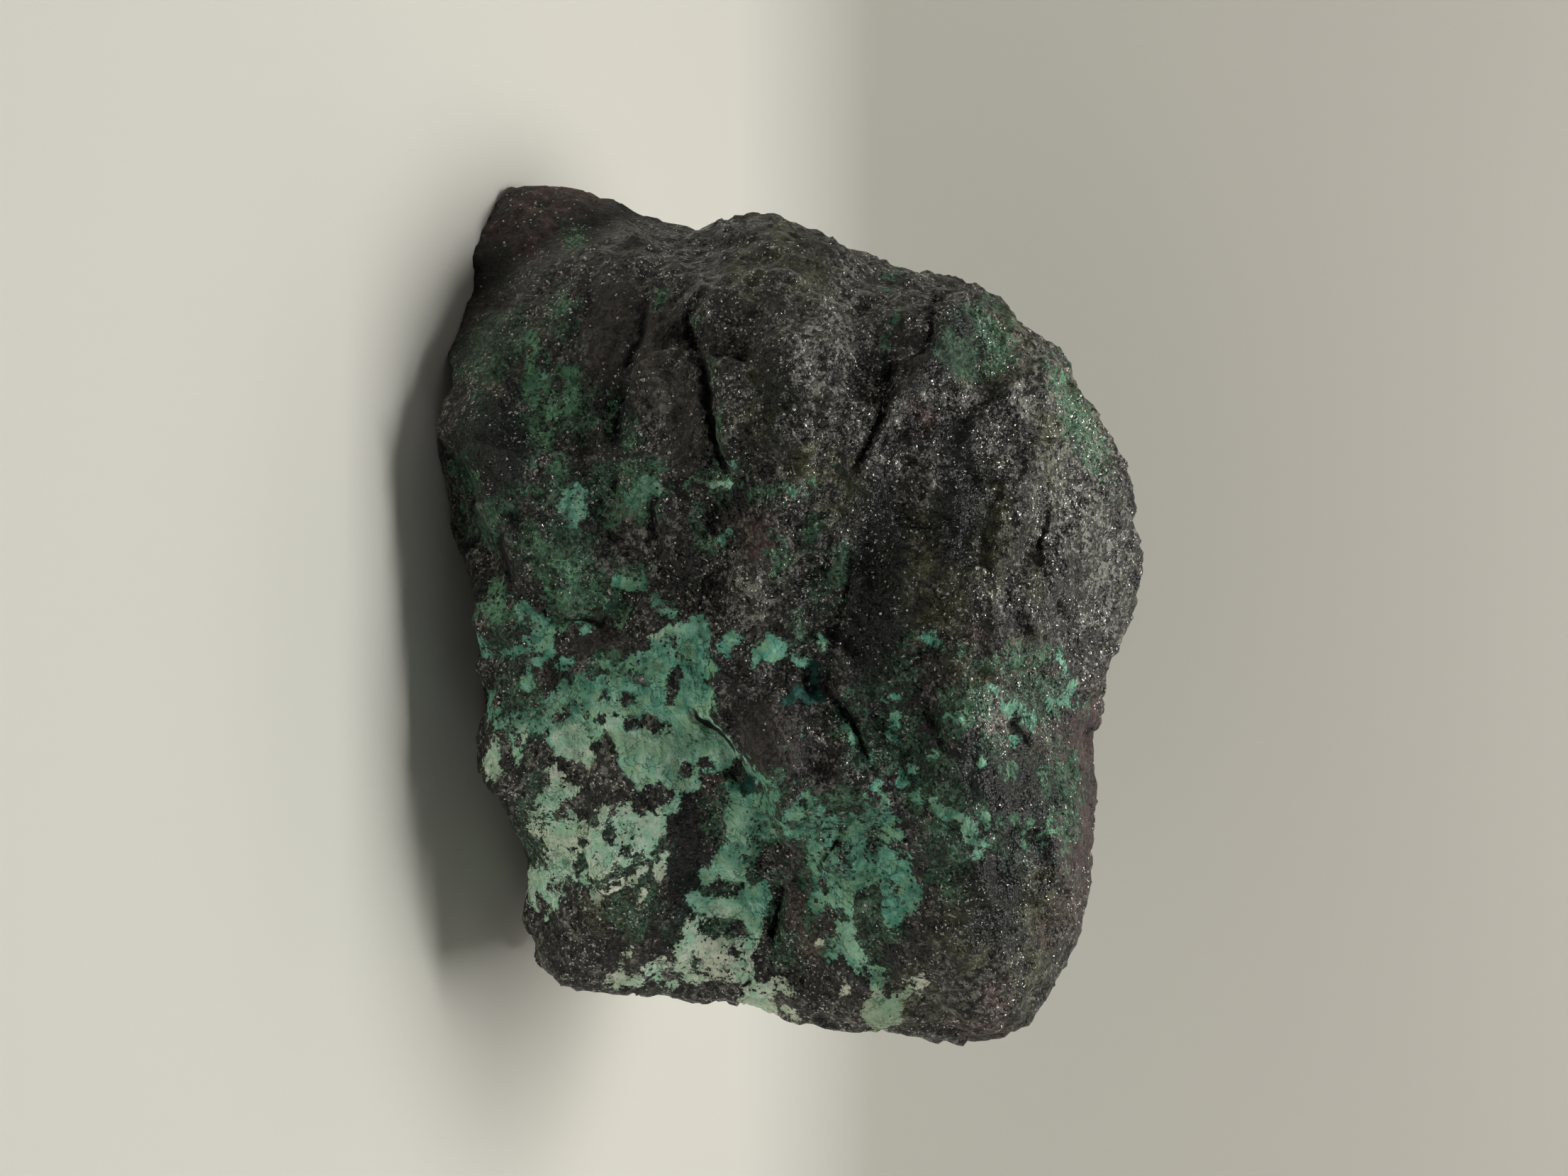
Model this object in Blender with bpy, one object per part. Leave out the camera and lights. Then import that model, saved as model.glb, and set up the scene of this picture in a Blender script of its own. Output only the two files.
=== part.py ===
"""Chrysocolla specimen: a broken rock of dark, glittering ore, its front crusted with chrysocolla.

Metres, +Z up. The origin is the middle of the underside of the rock's box, and the crusted face looks
towards -Y. The rock is a ball whose points are pushed out to a ring of broken faces and to the outline of
the crusted face, which then gets its swells, ledges and holes.
Places on the crusted face are (across, up) as the eye sees them, from EYE_DISTANCE in front of the heart
and EYE_TILT above it."""

import itertools
import math

import bmesh
import bpy
import numpy as np

MM = 0.001

# Driving dimensions
HEART_HEIGHT = 40.0 * MM  # of the point that the rock is shaped round, above the floor
HEART_ACROSS = -1.95 * MM  # which puts the middle of the box at X = 0
HEART_BACK = -0.7 * MM  # which puts the middle of the box at Y = 0
EYE_DISTANCE = 380.0 * MM
EYE_TILT = math.radians(22.0)
FACE_ROUNDING = 44.0  # larger gives sharper edges between the broken faces
GRID_CUTS = 27  # each side of the starting cube is cut into one more strip than this
FRONT_CROWDING = 0.48  # how much closer the points lie on the crusted face than at the back

# The broken faces that the rock is bounded by:
# (degrees round from the front towards +X, degrees up, mm from the heart)
BROKEN_FACES = (
    # the crusted face, from the foot to the brow
    (0, 10, 37.0),
    (-27, 6, 41.0),
    (24, 6, 44.0),
    (-40, 34, 46.0),
    (42, 26, 58.0),
    # the crown
    (0, 46, 49.0),
    (-6, 73, 47.0),
    (34, 66, 51.0),
    (-62, 52, 51.0),
    (160, 70, 48.0),
    (100, 62, 55.0),
    # the two ends
    (62, 4, 66.0),
    (96, -8, 59.0),
    (88, 36, 66.0),
    (-66, 6, 49.0),
    (-96, 4, 51.0),
    (-98, 38, 48.0),
    (-72, -26, 60.0),
    # the back
    (126, 2, 53.0),
    (152, 12, 45.5),
    (178, -2, 44.0),
    (-156, 10, 43.0),
    (-132, 22, 45.0),
    (-122, -8, 52.0),
    (172, 42, 47.0),
    (-138, 50, 46.0),
    (132, 42, 51.0),
    # the undersides, and the foot that the rock stands on
    (0, -46, 50.0),
    (46, -50, 51.0),
    (84, -38, 57.0),
    (-44, -56, 54.0),
    (-100, -36, 60.0),
    (142, -34, 50.0),
    (178, -46, 49.0),
    (-146, -40, 51.0),
    (112, -56, 52.0),
    (0, -90, 41.0),
)

# The outline of the rock as the eye sees it, mm across and up from the heart, clockwise from the foot
OUTLINE = (
    # the dull block behind the left end
    (-36.2, -47.7),
    (-41.4, -47.2),
    (-46.5, -46.2),
    (-51.7, -43.6),
    (-55.0, -41.8),
    (-58.7, -38.4),
    (-58.3, -31.7),
    (-56.4, -24.4),
    (-54.3, -21.0),
    (-53.0, -16.0),
    # the notch between that block and the left lobe, then the left shoulder
    (-52.2, -12.5),
    (-54.0, -8.9),
    (-54.8, -1.5),
    (-52.9, 2.5),
    (-49.6, 9.7),
    (-46.7, 15.9),
    (-46.0, 21.1),
    (-44.7, 26.3),
    (-42.4, 31.5),
    (-38.8, 34.6),
    # the crown
    (-34.1, 40.8),
    (-29.4, 42.8),
    (-24.8, 46.0),
    (-19.6, 49.1),
    (-15.5, 50.8),
    (-9.3, 51.3),
    (-1.0, 52.0),
    (2.1, 51.2),
    (7.8, 49.1),
    (12.5, 46.9),
    (17.6, 46.4),
    (22.8, 44.9),
    (29.0, 45.4),
    (38.3, 44.9),
    (45.6, 44.4),
    # the right end, downwards
    (53.9, 41.8),
    (59.0, 38.7),
    (63.7, 35.6),
    (65.8, 30.4),
    (66.1, 21.1),
    (64.7, 15.9),
    (64.7, 7.7),
    (63.2, 1.4),
    (60.6, -5.8),
    (60.6, -11.0),
    (59.6, -18.2),
    (59.0, -26.5),
    (58.0, -32.7),
    # the raised lower right corner and the foot
    (53.9, -36.8),
    (48.7, -38.4),
    (43.0, -37.4),
    (36.3, -38.9),
    (30.1, -42.0),
    (26.4, -44.9),
    (17.6, -44.9),
    (5.2, -46.0),
    (-3.1, -46.7),
    (-11.3, -47.0),
    (-15.5, -47.8),
    (-23.8, -49.6),
    (-27.4, -48.7),
    (-30.4, -46.9),
)

# Swells and hollows of the crusted face:
# (across, up, half length, half width, degrees of turn, height), in mm
SWELLS = (
    (-37, 0, 17, 10, 0, 6.0),  # the big left lobe
    (-33, 24, 14, 7, 15, 2.5),  # the lobe over it
    (-27, 14, 12, 5, -15, -1.6),  # the valley between those two
    (-5, 39, 20, 8, 5, 2.5),  # the brow
    (0, 18, 14, 8, 0, -1.8),  # the hollow under the brow
    (20, -1, 11, 7, -10, 2.5),  # the smooth block in the middle
    (-25, -44, 9, 6, 0, 4.5),  # the nose at the foot
    (-40, -26, 8, 10, 0, 2.0),
    (8, -30, 18, 10, 0, 1.5),  # under the broad crust
    (48, -27, 13, 10, 0, 2.5),  # the lower right corner
    (60, 8, 8, 14, 0, 1.5),
    (33, 12, 12, 8, 10, 1.2),
    (50, 30, 12, 9, 0, 2.0),
    (36, -6, 9, 6, 0, -1.2),
)

# Ledges: the line of the step (mm across and up),
# how far the ground on its right stands proud, and how far that reaches
LEDGES = (
    # the overhang of the big left lobe
    (
        (
            (-15, -7),
            (-19, -9),
            (-22, -10),
            (-28, -10.2),
            (-33, -11.2),
            (-39, -13.8),
            (-42, -12),
            (-46, -9.2),
        ),
        4.2,
        12,
    ),
    # the cracks between the two left lobes
    (((-16, 10.2), (-20, 12), (-24.5, 14.2), (-31, 16.5), (-36, 15.6)), 1.4, 9),
    (((-30, 18.2), (-33, 19.5), (-36, 21.5), (-40, 22), (-46, 22.8)), 1.1, 8),
    # the crack that runs on to the right, and the one that climbs out of the green pocket
    (((12, 6.2), (6, 8), (0, 9.5), (-6, 10.2)), 0.9, 8),
    (((28, 14), (23, 11.5), (18, 9.3), (15.5, 7), (13.5, 5.4)), 1.6, 8),
    # the lower edge of the smooth block in the middle
    (((30, -0.5), (28.5, -3), (26, -6), (22, -8), (17, -11), (9, -10.4), (3.5, -11.8)), 2.4, 9),
    # under the brow
    (((9, 30.5), (0, 30), (-6, 29.8), (-11, 31), (-15, 29.6)), 1.2, 9),
    (((26, 25.2), (20, 23), (16, 21.6)), 0.9, 7),
    # small steps of the lower left
    (((-30, -23.2), (-36, -21), (-40, -19.8), (-46, -19.4)), 1.6, 8),
    (((-6, -18.2), (-9, -19), (-12, -19), (-15, -17)), 2.0, 6),
    (((-6, -9.6), (-9, -10), (-13, -9.6)), 1.6, 5),
    (((1.5, -39), (-3, -40.2), (-6, -41.2), (-9.5, -40.6)), 2.2, 7),
    # the right side
    (((52, -1.2), (46, -0.2), (42, 0.6)), 2.4, 7),
    (((44, 7), (40.5, 5.2), (37.5, 7), (35, 9)), 1.2, 5),
)

# Holes of the crusted face: (across, up, half length, half width, degrees of turn, depth), in mm
HOLES = (
    (-7.5, 36.4, 5.0, 2.0, -16, 3.6),  # the slot in the brow
    (13.6, 4.6, 2.8, 2.0, 0, 2.4),  # the deep green pocket
    (26.6, -6.8, 3.0, 1.8, 20, 2.2),
    (47.4, -0.8, 4.2, 1.4, -6, 2.0),
    (-24.5, -24.2, 3.4, 1.8, -4, 1.6),
)

# The ridge where the crusted face turns back to the dull block: beyond it the ground drops by RIDGE_DROP
RIDGE = (
    (-52.5, -11.0),
    (-50.0, -21.0),
    (-48.0, -31.5),
    (-44.4, -36.0),
    (-37.2, -42.0),
    (-29.4, -47.0),
    (-26.0, -54.0),
)
RIDGE_DROP = 11.0
RIDGE_WIDTH = 5.0

STEP_WIDTH = 3.2  # mm, over which a ledge rises
BLOCK_SHARPNESS = 20.0  # larger gives shorter steps between the blocks
FLOOR_GRIP = 1.8 * MM  # what comes this near the floor lies on it

ORE_COLOUR = (0.045, 0.040, 0.038, 1.0)


def lattice_slopes():
    """256 ways spread evenly over a ball by the golden angle; each lattice corner takes one of them."""
    step = np.arange(256)
    up = 1 - (2 * step + 1) / 256
    turn = step * math.pi * (3 - math.sqrt(5))
    flat = np.sqrt(1 - up**2)
    return np.stack([flat * np.cos(turn), flat * np.sin(turn), up], axis=1)


SLOPES = lattice_slopes()


def scrambled(cells):
    """A well mixed whole number for each lattice cell."""
    key = cells @ np.array((73856093, 19349663, 83492791))
    key = (key ^ key >> 13) * 1274126177 & 0xFFFFFFFF
    return (key ^ key >> 16) * 73244475 >> 5 & 0xFFFFFFFF


def lattice_noise(points, size, seed):
    """Smooth noise from about -1 to 1 with swells of the given size: each lattice corner slopes its way."""
    scaled = points / size + 31.7 * seed
    cell = np.floor(scaled).astype(np.int64)
    inside = scaled - cell
    fade = inside**3 * (inside * (inside * 6 - 15) + 10)
    total = np.zeros(len(points))
    for corner in itertools.product((0, 1), repeat=3):
        slope = SLOPES[scrambled(cell + corner) & 255]
        weight = np.where(corner, fade, 1 - fade).prod(axis=1)
        total += weight * ((inside - corner) * slope).sum(axis=1)
    return 1.6 * total


def block_noise(points, size, seed):
    """Noise of broken blocks of the given size: each has its level and tilt, with short steps between."""
    scaled = points / size + 17.3 * seed
    cell = np.floor(scaled).astype(np.int64)
    total = np.zeros(len(points))
    weights = np.zeros(len(points))
    for corner in itertools.product((-1, 0, 1), repeat=3):
        key = scrambled(cell + corner)
        away = scaled - (cell + corner + 0.5 + 0.45 * SLOPES[key & 255])
        level = (key >> 8 & 255) / 128 - 1
        weight = np.exp(-BLOCK_SHARPNESS * np.linalg.norm(away, axis=1))
        total += weight * (0.35 * level + (away * SLOPES[key >> 16 & 255]).sum(axis=1))
        weights += weight
    return total / weights


def smooth_step(low, high, value):
    share = np.clip((value - low) / (high - low), 0, 1)
    return share * share * (3 - 2 * share)


def sight_frame():
    """The eye's axes in the world, as columns: across, up, and towards the eye."""
    low, high = math.sin(EYE_TILT), math.cos(EYE_TILT)
    return np.array(((1, 0, 0), (0, low, high), (0, -high, low))).T


def face_places(points):
    """Where points round the heart lie in the eye's view, and how far they stand towards the eye, in mm."""
    seen = points @ sight_frame()
    scale = EYE_DISTANCE / (EYE_DISTANCE - seen[:, 2])
    return seen[:, :2] * scale[:, None] / MM, seen[:, 2] / MM


def faces_reach(ways):
    """How far the broken faces let each way from the heart go: a power mean, which rounds their edges."""
    total = np.zeros(len(ways))
    for turn, tilt, distance in BROKEN_FACES:
        turn, tilt = math.radians(turn), math.radians(tilt)
        normal = (math.sin(turn) * math.cos(tilt), -math.cos(turn) * math.cos(tilt), math.sin(tilt))
        total += np.clip(ways @ np.array(normal) / (distance * MM), 0, None) ** FACE_ROUNDING
    return total ** (-1 / FACE_ROUNDING)


def broken_reach(ways):
    """How far each way from the heart goes once the broken faces have their swells and blocks."""
    reach = faces_reach(ways)
    points = ways * reach[:, None]
    rough = 1.0 * lattice_noise(points, 30 * MM, 3) + 4.6 * block_noise(points, 21 * MM, 5)
    rough += 1.8 * block_noise(points, 8 * MM, 8)
    return reach + rough * MM


def outline_radius(turns):
    """Millimetres from the heart to the outline, each way round it in the eye's view."""
    corners = np.array(OUTLINE)
    turned = np.arctan2(corners[:, 1], corners[:, 0])
    order = np.argsort(turned)
    away = np.hypot(corners[:, 0], corners[:, 1])
    return np.interp(turns, turned[order], away[order], period=2 * math.pi)


def rim_radius(turns):
    """Millimetres from the heart to the edge of the broken faces, each way round it in the eye's view."""
    round_steps = np.linspace(-math.pi, math.pi, 181)
    away_steps = np.radians(np.linspace(30, 150, 121))
    turned, away = np.meshgrid(round_steps, away_steps, indexing="ij")
    seen = np.stack([np.sin(away) * np.cos(turned), np.sin(away) * np.sin(turned), np.cos(away)], axis=2)
    ways = seen.reshape(-1, 3) @ sight_frame().T
    places, _ = face_places(ways * broken_reach(ways)[:, None])
    widest = np.hypot(places[:, 0], places[:, 1]).reshape(turned.shape).max(axis=1)
    return np.interp(turns, round_steps, widest)


def fitted_to_outline(points):
    """The points moved across the eye's view so that the edge of the broken faces falls on the outline."""
    places, _ = face_places(points)
    turns = np.arctan2(places[:, 1], places[:, 0])
    rim = rim_radius(turns)
    share = np.hypot(places[:, 0], places[:, 1]) / rim
    stretch = 1 + (outline_radius(turns) / rim - 1) * smooth_step(0.1, 1, share)
    seen = points @ sight_frame()
    seen[:, :2] *= stretch[:, None]
    return seen @ sight_frame().T


def line_offset(places, line):
    """How far each place is from a broken line, positive on its left, and how far along the line it is."""
    line = np.array(line, float)
    start, run = line[:-1], np.diff(line, axis=0)
    away = places[:, None] - start
    share = np.clip((away * run).sum(2) / (run**2).sum(1), 0, 1)
    off = away - share[:, :, None] * run
    distance = np.hypot(off[:, :, 0], off[:, :, 1])
    nearest = distance.argmin(axis=1)
    row = np.arange(len(places))
    side = np.sign(run[:, 0] * away[:, :, 1] - run[:, 1] * away[:, :, 0])[row, nearest]
    return side * distance[row, nearest], (nearest + share[row, nearest]) / len(run)


def in_ellipse(places, across, up, length, width, turn):
    """Squared distance from an ellipse's middle, 1 at its rim."""
    turn = math.radians(turn)
    x, y = places[:, 0] - across, places[:, 1] - up
    along = x * math.cos(turn) + y * math.sin(turn)
    beside = y * math.cos(turn) - x * math.sin(turn)
    return (along / length) ** 2 + (beside / width) ** 2


def face_relief(places, nearness):
    """Millimetres that the crusted face stands towards the eye of its broken faces."""
    relief = sum(height * np.exp(-in_ellipse(places, *rest)) for *rest, height in SWELLS)
    for line, height, reach in LEDGES:
        offset, along = line_offset(places, line)
        proud = smooth_step(STEP_WIDTH / 2, -STEP_WIDTH / 2, offset) * np.exp(-np.abs(offset) / reach)
        relief += height * proud * np.clip(4 * along * (1 - along), 0, 1) ** 0.5
    for *ellipse, depth in HOLES:
        relief -= depth * np.exp(-in_ellipse(places, *ellipse) ** 2)
    offset, _ = line_offset(places, RIDGE)
    relief -= RIDGE_DROP * smooth_step(0, RIDGE_WIDTH, -offset)
    return relief * smooth_step(-18, 26, nearness)


def rock_points(ways):
    """The rock's surface along each unit way from the heart."""
    points = fitted_to_outline(ways * broken_reach(ways)[:, None])
    places, nearness = face_places(points)
    drift = np.stack([lattice_noise(points, 6 * MM, seed) for seed in (11, 17)], axis=1)
    to_eye = sight_frame()[:, 2] * EYE_DISTANCE - points
    to_eye /= np.linalg.norm(to_eye, axis=1)[:, None]
    points += to_eye * (face_relief(places + 0.7 * drift, nearness) * MM)[:, None]
    points += (HEART_ACROSS, HEART_BACK, HEART_HEIGHT)
    points[points[:, 2] < FLOOR_GRIP, 2] = 0
    return points


def front_crowded(ways):
    """Ways from the heart moved towards the eye, so that the crusted face gets more of them."""
    ways = ways + FRONT_CROWDING * sight_frame()[:, 2]
    return ways / np.linalg.norm(ways, axis=1)[:, None]


def ore_material():
    material = bpy.data.materials.new("ore")
    material.use_nodes = True
    shader = material.node_tree.nodes["Principled BSDF"]
    shader.inputs["Base Color"].default_value = ORE_COLOUR
    shader.inputs["Roughness"].default_value = 0.6
    shader.inputs["Metallic"].default_value = 0.0
    return material


def build_rock(collection):
    """A cube cut into a grid, blown up to a ball and pushed out to the rock's surface."""
    form = bmesh.new()
    bmesh.ops.create_cube(form, size=2)
    bmesh.ops.subdivide_edges(form, edges=form.edges[:], cuts=GRID_CUTS, use_grid_fill=True)
    cube = np.array([vertex.co for vertex in form.verts])
    # the tangent evens out the cells, which would otherwise crowd at the cube's corners
    ball = np.tan(cube * math.pi / 4)
    ways = front_crowded(ball / np.linalg.norm(ball, axis=1)[:, None])
    for vertex, place in zip(form.verts, rock_points(ways)):
        vertex.co = place
    mesh = bpy.data.meshes.new("rock")
    form.to_mesh(mesh)
    form.free()
    mesh.materials.append(ore_material())
    mesh.shade_smooth()
    rock = bpy.data.objects.new("rock", mesh)
    collection.objects.link(rock)
    return rock


def main():
    for thing in list(bpy.data.objects):
        bpy.data.objects.remove(thing)
    specimen = bpy.data.collections.new("chrysocolla_specimen")
    bpy.context.scene.collection.children.link(specimen)
    build_rock(specimen)


main()
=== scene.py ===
"""Chrysocolla specimen in its finish: a rock of dark, glittering ore, its front crusted with chrysocolla.

The rock is one closed surface: a ball whose points are pushed out to a ring of broken faces and to the
outline of the crusted face, which then gets its swells, ledges, holes and cracks. The CAD solid is worked
out in the same way on a coarser grid, without the thin cracks, chips, pits and grain.
Places on the crusted face are (across, up) in mm, as the eye sees them from EYE_DISTANCE in front of the
heart and EYE_TILT above it. Crusts, stains and bare patches are painted there by outlines and ellipses, and
the material breaks up their edges."""

import itertools
import math

import bpy
import numpy as np
from mathutils import Matrix, Vector


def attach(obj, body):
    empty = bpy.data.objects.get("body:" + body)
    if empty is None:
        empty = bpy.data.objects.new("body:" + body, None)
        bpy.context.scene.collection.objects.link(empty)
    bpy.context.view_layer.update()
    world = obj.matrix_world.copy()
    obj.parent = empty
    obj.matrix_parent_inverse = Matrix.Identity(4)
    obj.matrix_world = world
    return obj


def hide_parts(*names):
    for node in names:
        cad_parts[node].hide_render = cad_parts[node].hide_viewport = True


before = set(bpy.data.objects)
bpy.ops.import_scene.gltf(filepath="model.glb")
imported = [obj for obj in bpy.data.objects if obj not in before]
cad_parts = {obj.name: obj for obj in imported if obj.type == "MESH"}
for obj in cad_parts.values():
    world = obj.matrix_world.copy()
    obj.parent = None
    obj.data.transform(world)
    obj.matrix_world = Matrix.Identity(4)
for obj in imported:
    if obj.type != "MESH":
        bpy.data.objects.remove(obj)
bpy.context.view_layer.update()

MM = 0.001

# The rock's own dimensions, which are the CAD solid's
HEART_HEIGHT = 40.0 * MM  # of the point that the rock is shaped round, above the floor
HEART_ACROSS = -1.95 * MM
HEART_BACK = -0.7 * MM
EYE_DISTANCE = 380.0 * MM
EYE_TILT = math.radians(22.0)
FACE_ROUNDING = 44.0  # larger gives sharper edges between the broken faces
FRONT_CROWDING = 0.48  # how much closer the points lie on the crusted face than at the back
BLOCK_SHARPNESS = 20.0  # larger gives shorter steps between the broken blocks
FLOOR_GRIP = 1.8 * MM  # how near the floor the ground has to come to lie on it
UNDERCUT = 3.5 * MM  # how far the underside rises towards its front right

# How finely it is worked out, and what that leaves room for
SIDE_CELLS = 127  # cells along each edge of the cube that is blown up to the ball
STEP_WIDTH = 1.3  # mm, over which a ledge rises
CRACK_WIDTH = 0.45  # mm, from a crack's middle to where it is a third as deep

# The camera's frame, whose long side lies along the eye's up
FRAME_LENGTH = 228.942 * MM  # what the long side takes in at the heart
SENSOR_WIDTH = 36.0

# The broken faces that the rock is bounded by:
# (degrees round from the front towards +X, degrees up, mm from the heart)
BROKEN_FACES = (
    # the crusted face, from the foot to the brow
    (0, 10, 37.0), (-27, 6, 41.0), (24, 6, 44.0), (-40, 34, 46.0), (42, 26, 58.0),
    # the crown
    (0, 46, 49.0), (-6, 73, 47.0), (34, 66, 51.0), (-62, 52, 51.0), (160, 70, 48.0), (100, 62, 55.0),
    # the two ends
    (62, 4, 66.0), (96, -8, 59.0), (88, 36, 66.0), (-66, 6, 49.0), (-96, 4, 51.0), (-98, 38, 48.0),
    (-72, -26, 60.0),
    # the back
    (126, 2, 53.0), (152, 12, 45.5), (178, -2, 44.0), (-156, 10, 43.0), (-132, 22, 45.0),
    (-122, -8, 52.0), (172, 42, 47.0), (-138, 50, 46.0), (132, 42, 51.0),
    # the undersides, and the foot that the rock stands on
    (0, -46, 50.0), (46, -50, 51.0), (84, -38, 57.0), (-44, -56, 54.0), (-100, -36, 60.0),
    (142, -34, 50.0), (178, -46, 49.0), (-146, -40, 51.0), (112, -56, 52.0), (0, -90, 41.0),
)

# The outline of the rock as the eye sees it, mm across and up from the heart, clockwise from the foot
OUTLINE = (
    # the dull block behind the left end
    (-36.2, -47.7), (-41.4, -47.2), (-46.5, -46.2), (-51.7, -43.6), (-55.0, -41.8), (-58.7, -38.4),
    (-58.3, -31.7), (-56.4, -24.4), (-54.3, -21.0), (-53.0, -16.0),
    # the notch between that block and the left lobe, then the left shoulder
    (-52.2, -12.5), (-54.0, -8.9), (-54.8, -1.5), (-52.9, 2.5), (-49.6, 9.7), (-46.7, 15.9),
    (-46.0, 21.1), (-44.7, 26.3), (-42.4, 31.5), (-38.8, 34.6),
    # the crown
    (-34.1, 40.8), (-29.4, 42.8), (-24.8, 46.0), (-19.6, 49.1), (-15.5, 50.8), (-9.3, 51.3), (-1.0, 52.0),
    (2.1, 51.2), (7.8, 49.1), (12.5, 46.9), (17.6, 46.4), (22.8, 44.9), (29.0, 45.4), (38.3, 44.9),
    (45.6, 44.4),
    # the right end, downwards
    (53.9, 41.8), (59.0, 38.7), (63.7, 35.6), (65.8, 30.4), (66.1, 21.1), (64.7, 15.9), (64.7, 7.7),
    (63.2, 1.4), (60.6, -5.8), (60.6, -11.0), (59.6, -18.2), (59.0, -26.5), (58.0, -32.7),
    # the raised lower right corner and the foot
    (53.9, -36.8), (48.7, -38.4), (43.0, -37.4), (36.3, -38.9), (30.1, -42.0), (26.4, -44.9),
    (17.6, -44.9), (5.2, -46.0), (-3.1, -46.7), (-11.3, -47.0), (-15.5, -47.8), (-23.8, -49.6),
    (-27.4, -48.7), (-30.4, -46.9),
)

# Swells and hollows of the crusted face:
# (across, up, half length, half width, degrees of turn, height), in mm
SWELLS = (
    (-37, 0, 17, 10, 0, 6.0),  # the big left lobe
    (-33, 24, 14, 7, 15, 2.5),  # the lobe over it
    (-27, 14, 12, 5, -15, -1.6),  # the valley between those two
    (-5, 39, 20, 8, 5, 2.5),  # the brow
    (0, 18, 14, 8, 0, -1.8),  # the hollow under the brow
    (20, -1, 11, 7, -10, 2.5),  # the smooth block in the middle
    (-25, -44, 9, 6, 0, 4.5),  # the nose at the foot
    (-40, -26, 8, 10, 0, 2.0),
    (8, -30, 18, 10, 0, 1.5),  # under the broad crust
    (48, -27, 13, 10, 0, 2.5),  # the lower right corner
    (60, 8, 8, 14, 0, 1.5),
    (33, 12, 12, 8, 10, 1.2),
    (50, 30, 12, 9, 0, 2.0),
    (36, -6, 9, 6, 0, -1.2),
)

# Ledges: the line of the step (mm across and up),
# how far the ground on its right stands proud, and how far that reaches
LEDGES = (
    # the overhang of the big left lobe
    (
        (
            (-15, -7), (-19, -9), (-22, -10), (-28, -10.2), (-33, -11.2), (-39, -13.8), (-42, -12),
            (-46, -9.2),
        ),
        4.2, 12,
    ),
    # the cracks between the two left lobes
    (((-16, 10.2), (-20, 12), (-24.5, 14.2), (-31, 16.5), (-36, 15.6)), 1.4, 9),
    (((-30, 18.2), (-33, 19.5), (-36, 21.5), (-40, 22), (-46, 22.8)), 1.1, 8),
    # the crack that runs on to the right, and the one that climbs out of the green pocket
    (((12, 6.2), (6, 8), (0, 9.5), (-6, 10.2)), 0.9, 8),
    (((28, 14), (23, 11.5), (18, 9.3), (15.5, 7), (13.5, 5.4)), 1.6, 8),
    # the lower edge of the smooth block in the middle
    (((30, -0.5), (28.5, -3), (26, -6), (22, -8), (17, -11), (9, -10.4), (3.5, -11.8)), 2.4, 9),
    # under the brow
    (((9, 30.5), (0, 30), (-6, 29.8), (-11, 31), (-15, 29.6)), 1.2, 9),
    (((26, 25.2), (20, 23), (16, 21.6)), 0.9, 7),
    # small steps of the lower left
    (((-30, -23.2), (-36, -21), (-40, -19.8), (-46, -19.4)), 1.6, 8),
    (((-6, -18.2), (-9, -19), (-12, -19), (-15, -17)), 2.0, 6),
    (((-6, -9.6), (-9, -10), (-13, -9.6)), 1.6, 5),
    (((1.5, -39), (-3, -40.2), (-6, -41.2), (-9.5, -40.6)), 2.2, 7),
    # the right side
    (((52, -1.2), (46, -0.2), (42, 0.6)), 2.4, 7),
    (((44, 7), (40.5, 5.2), (37.5, 7), (35, 9)), 1.2, 5),
)

# Holes of the crusted face: (across, up, half length, half width, degrees of turn, depth), in mm
HOLES = (
    (-7.5, 36.4, 5.0, 2.0, -16, 3.6),  # the slot in the brow
    (13.6, 4.6, 2.8, 2.0, 0, 2.4),  # the deep green pocket
    (26.6, -6.8, 3.0, 1.8, 20, 2.2),
    (47.4, -0.8, 4.2, 1.4, -6, 2.0),
    (-24.5, -24.2, 3.4, 1.8, -4, 1.6),
)

# The ridge where the crusted face turns back to the dull block: beyond it the ground drops by RIDGE_DROP
RIDGE = (
    (-52.5, -11.0), (-50.0, -21.0), (-48.0, -31.5), (-44.4, -36.0), (-37.2, -42.0), (-29.4, -47.0),
    (-26.0, -54.0),
)
RIDGE_DROP = 11.0  # mm
RIDGE_WIDTH = 5.0  # mm

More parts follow.
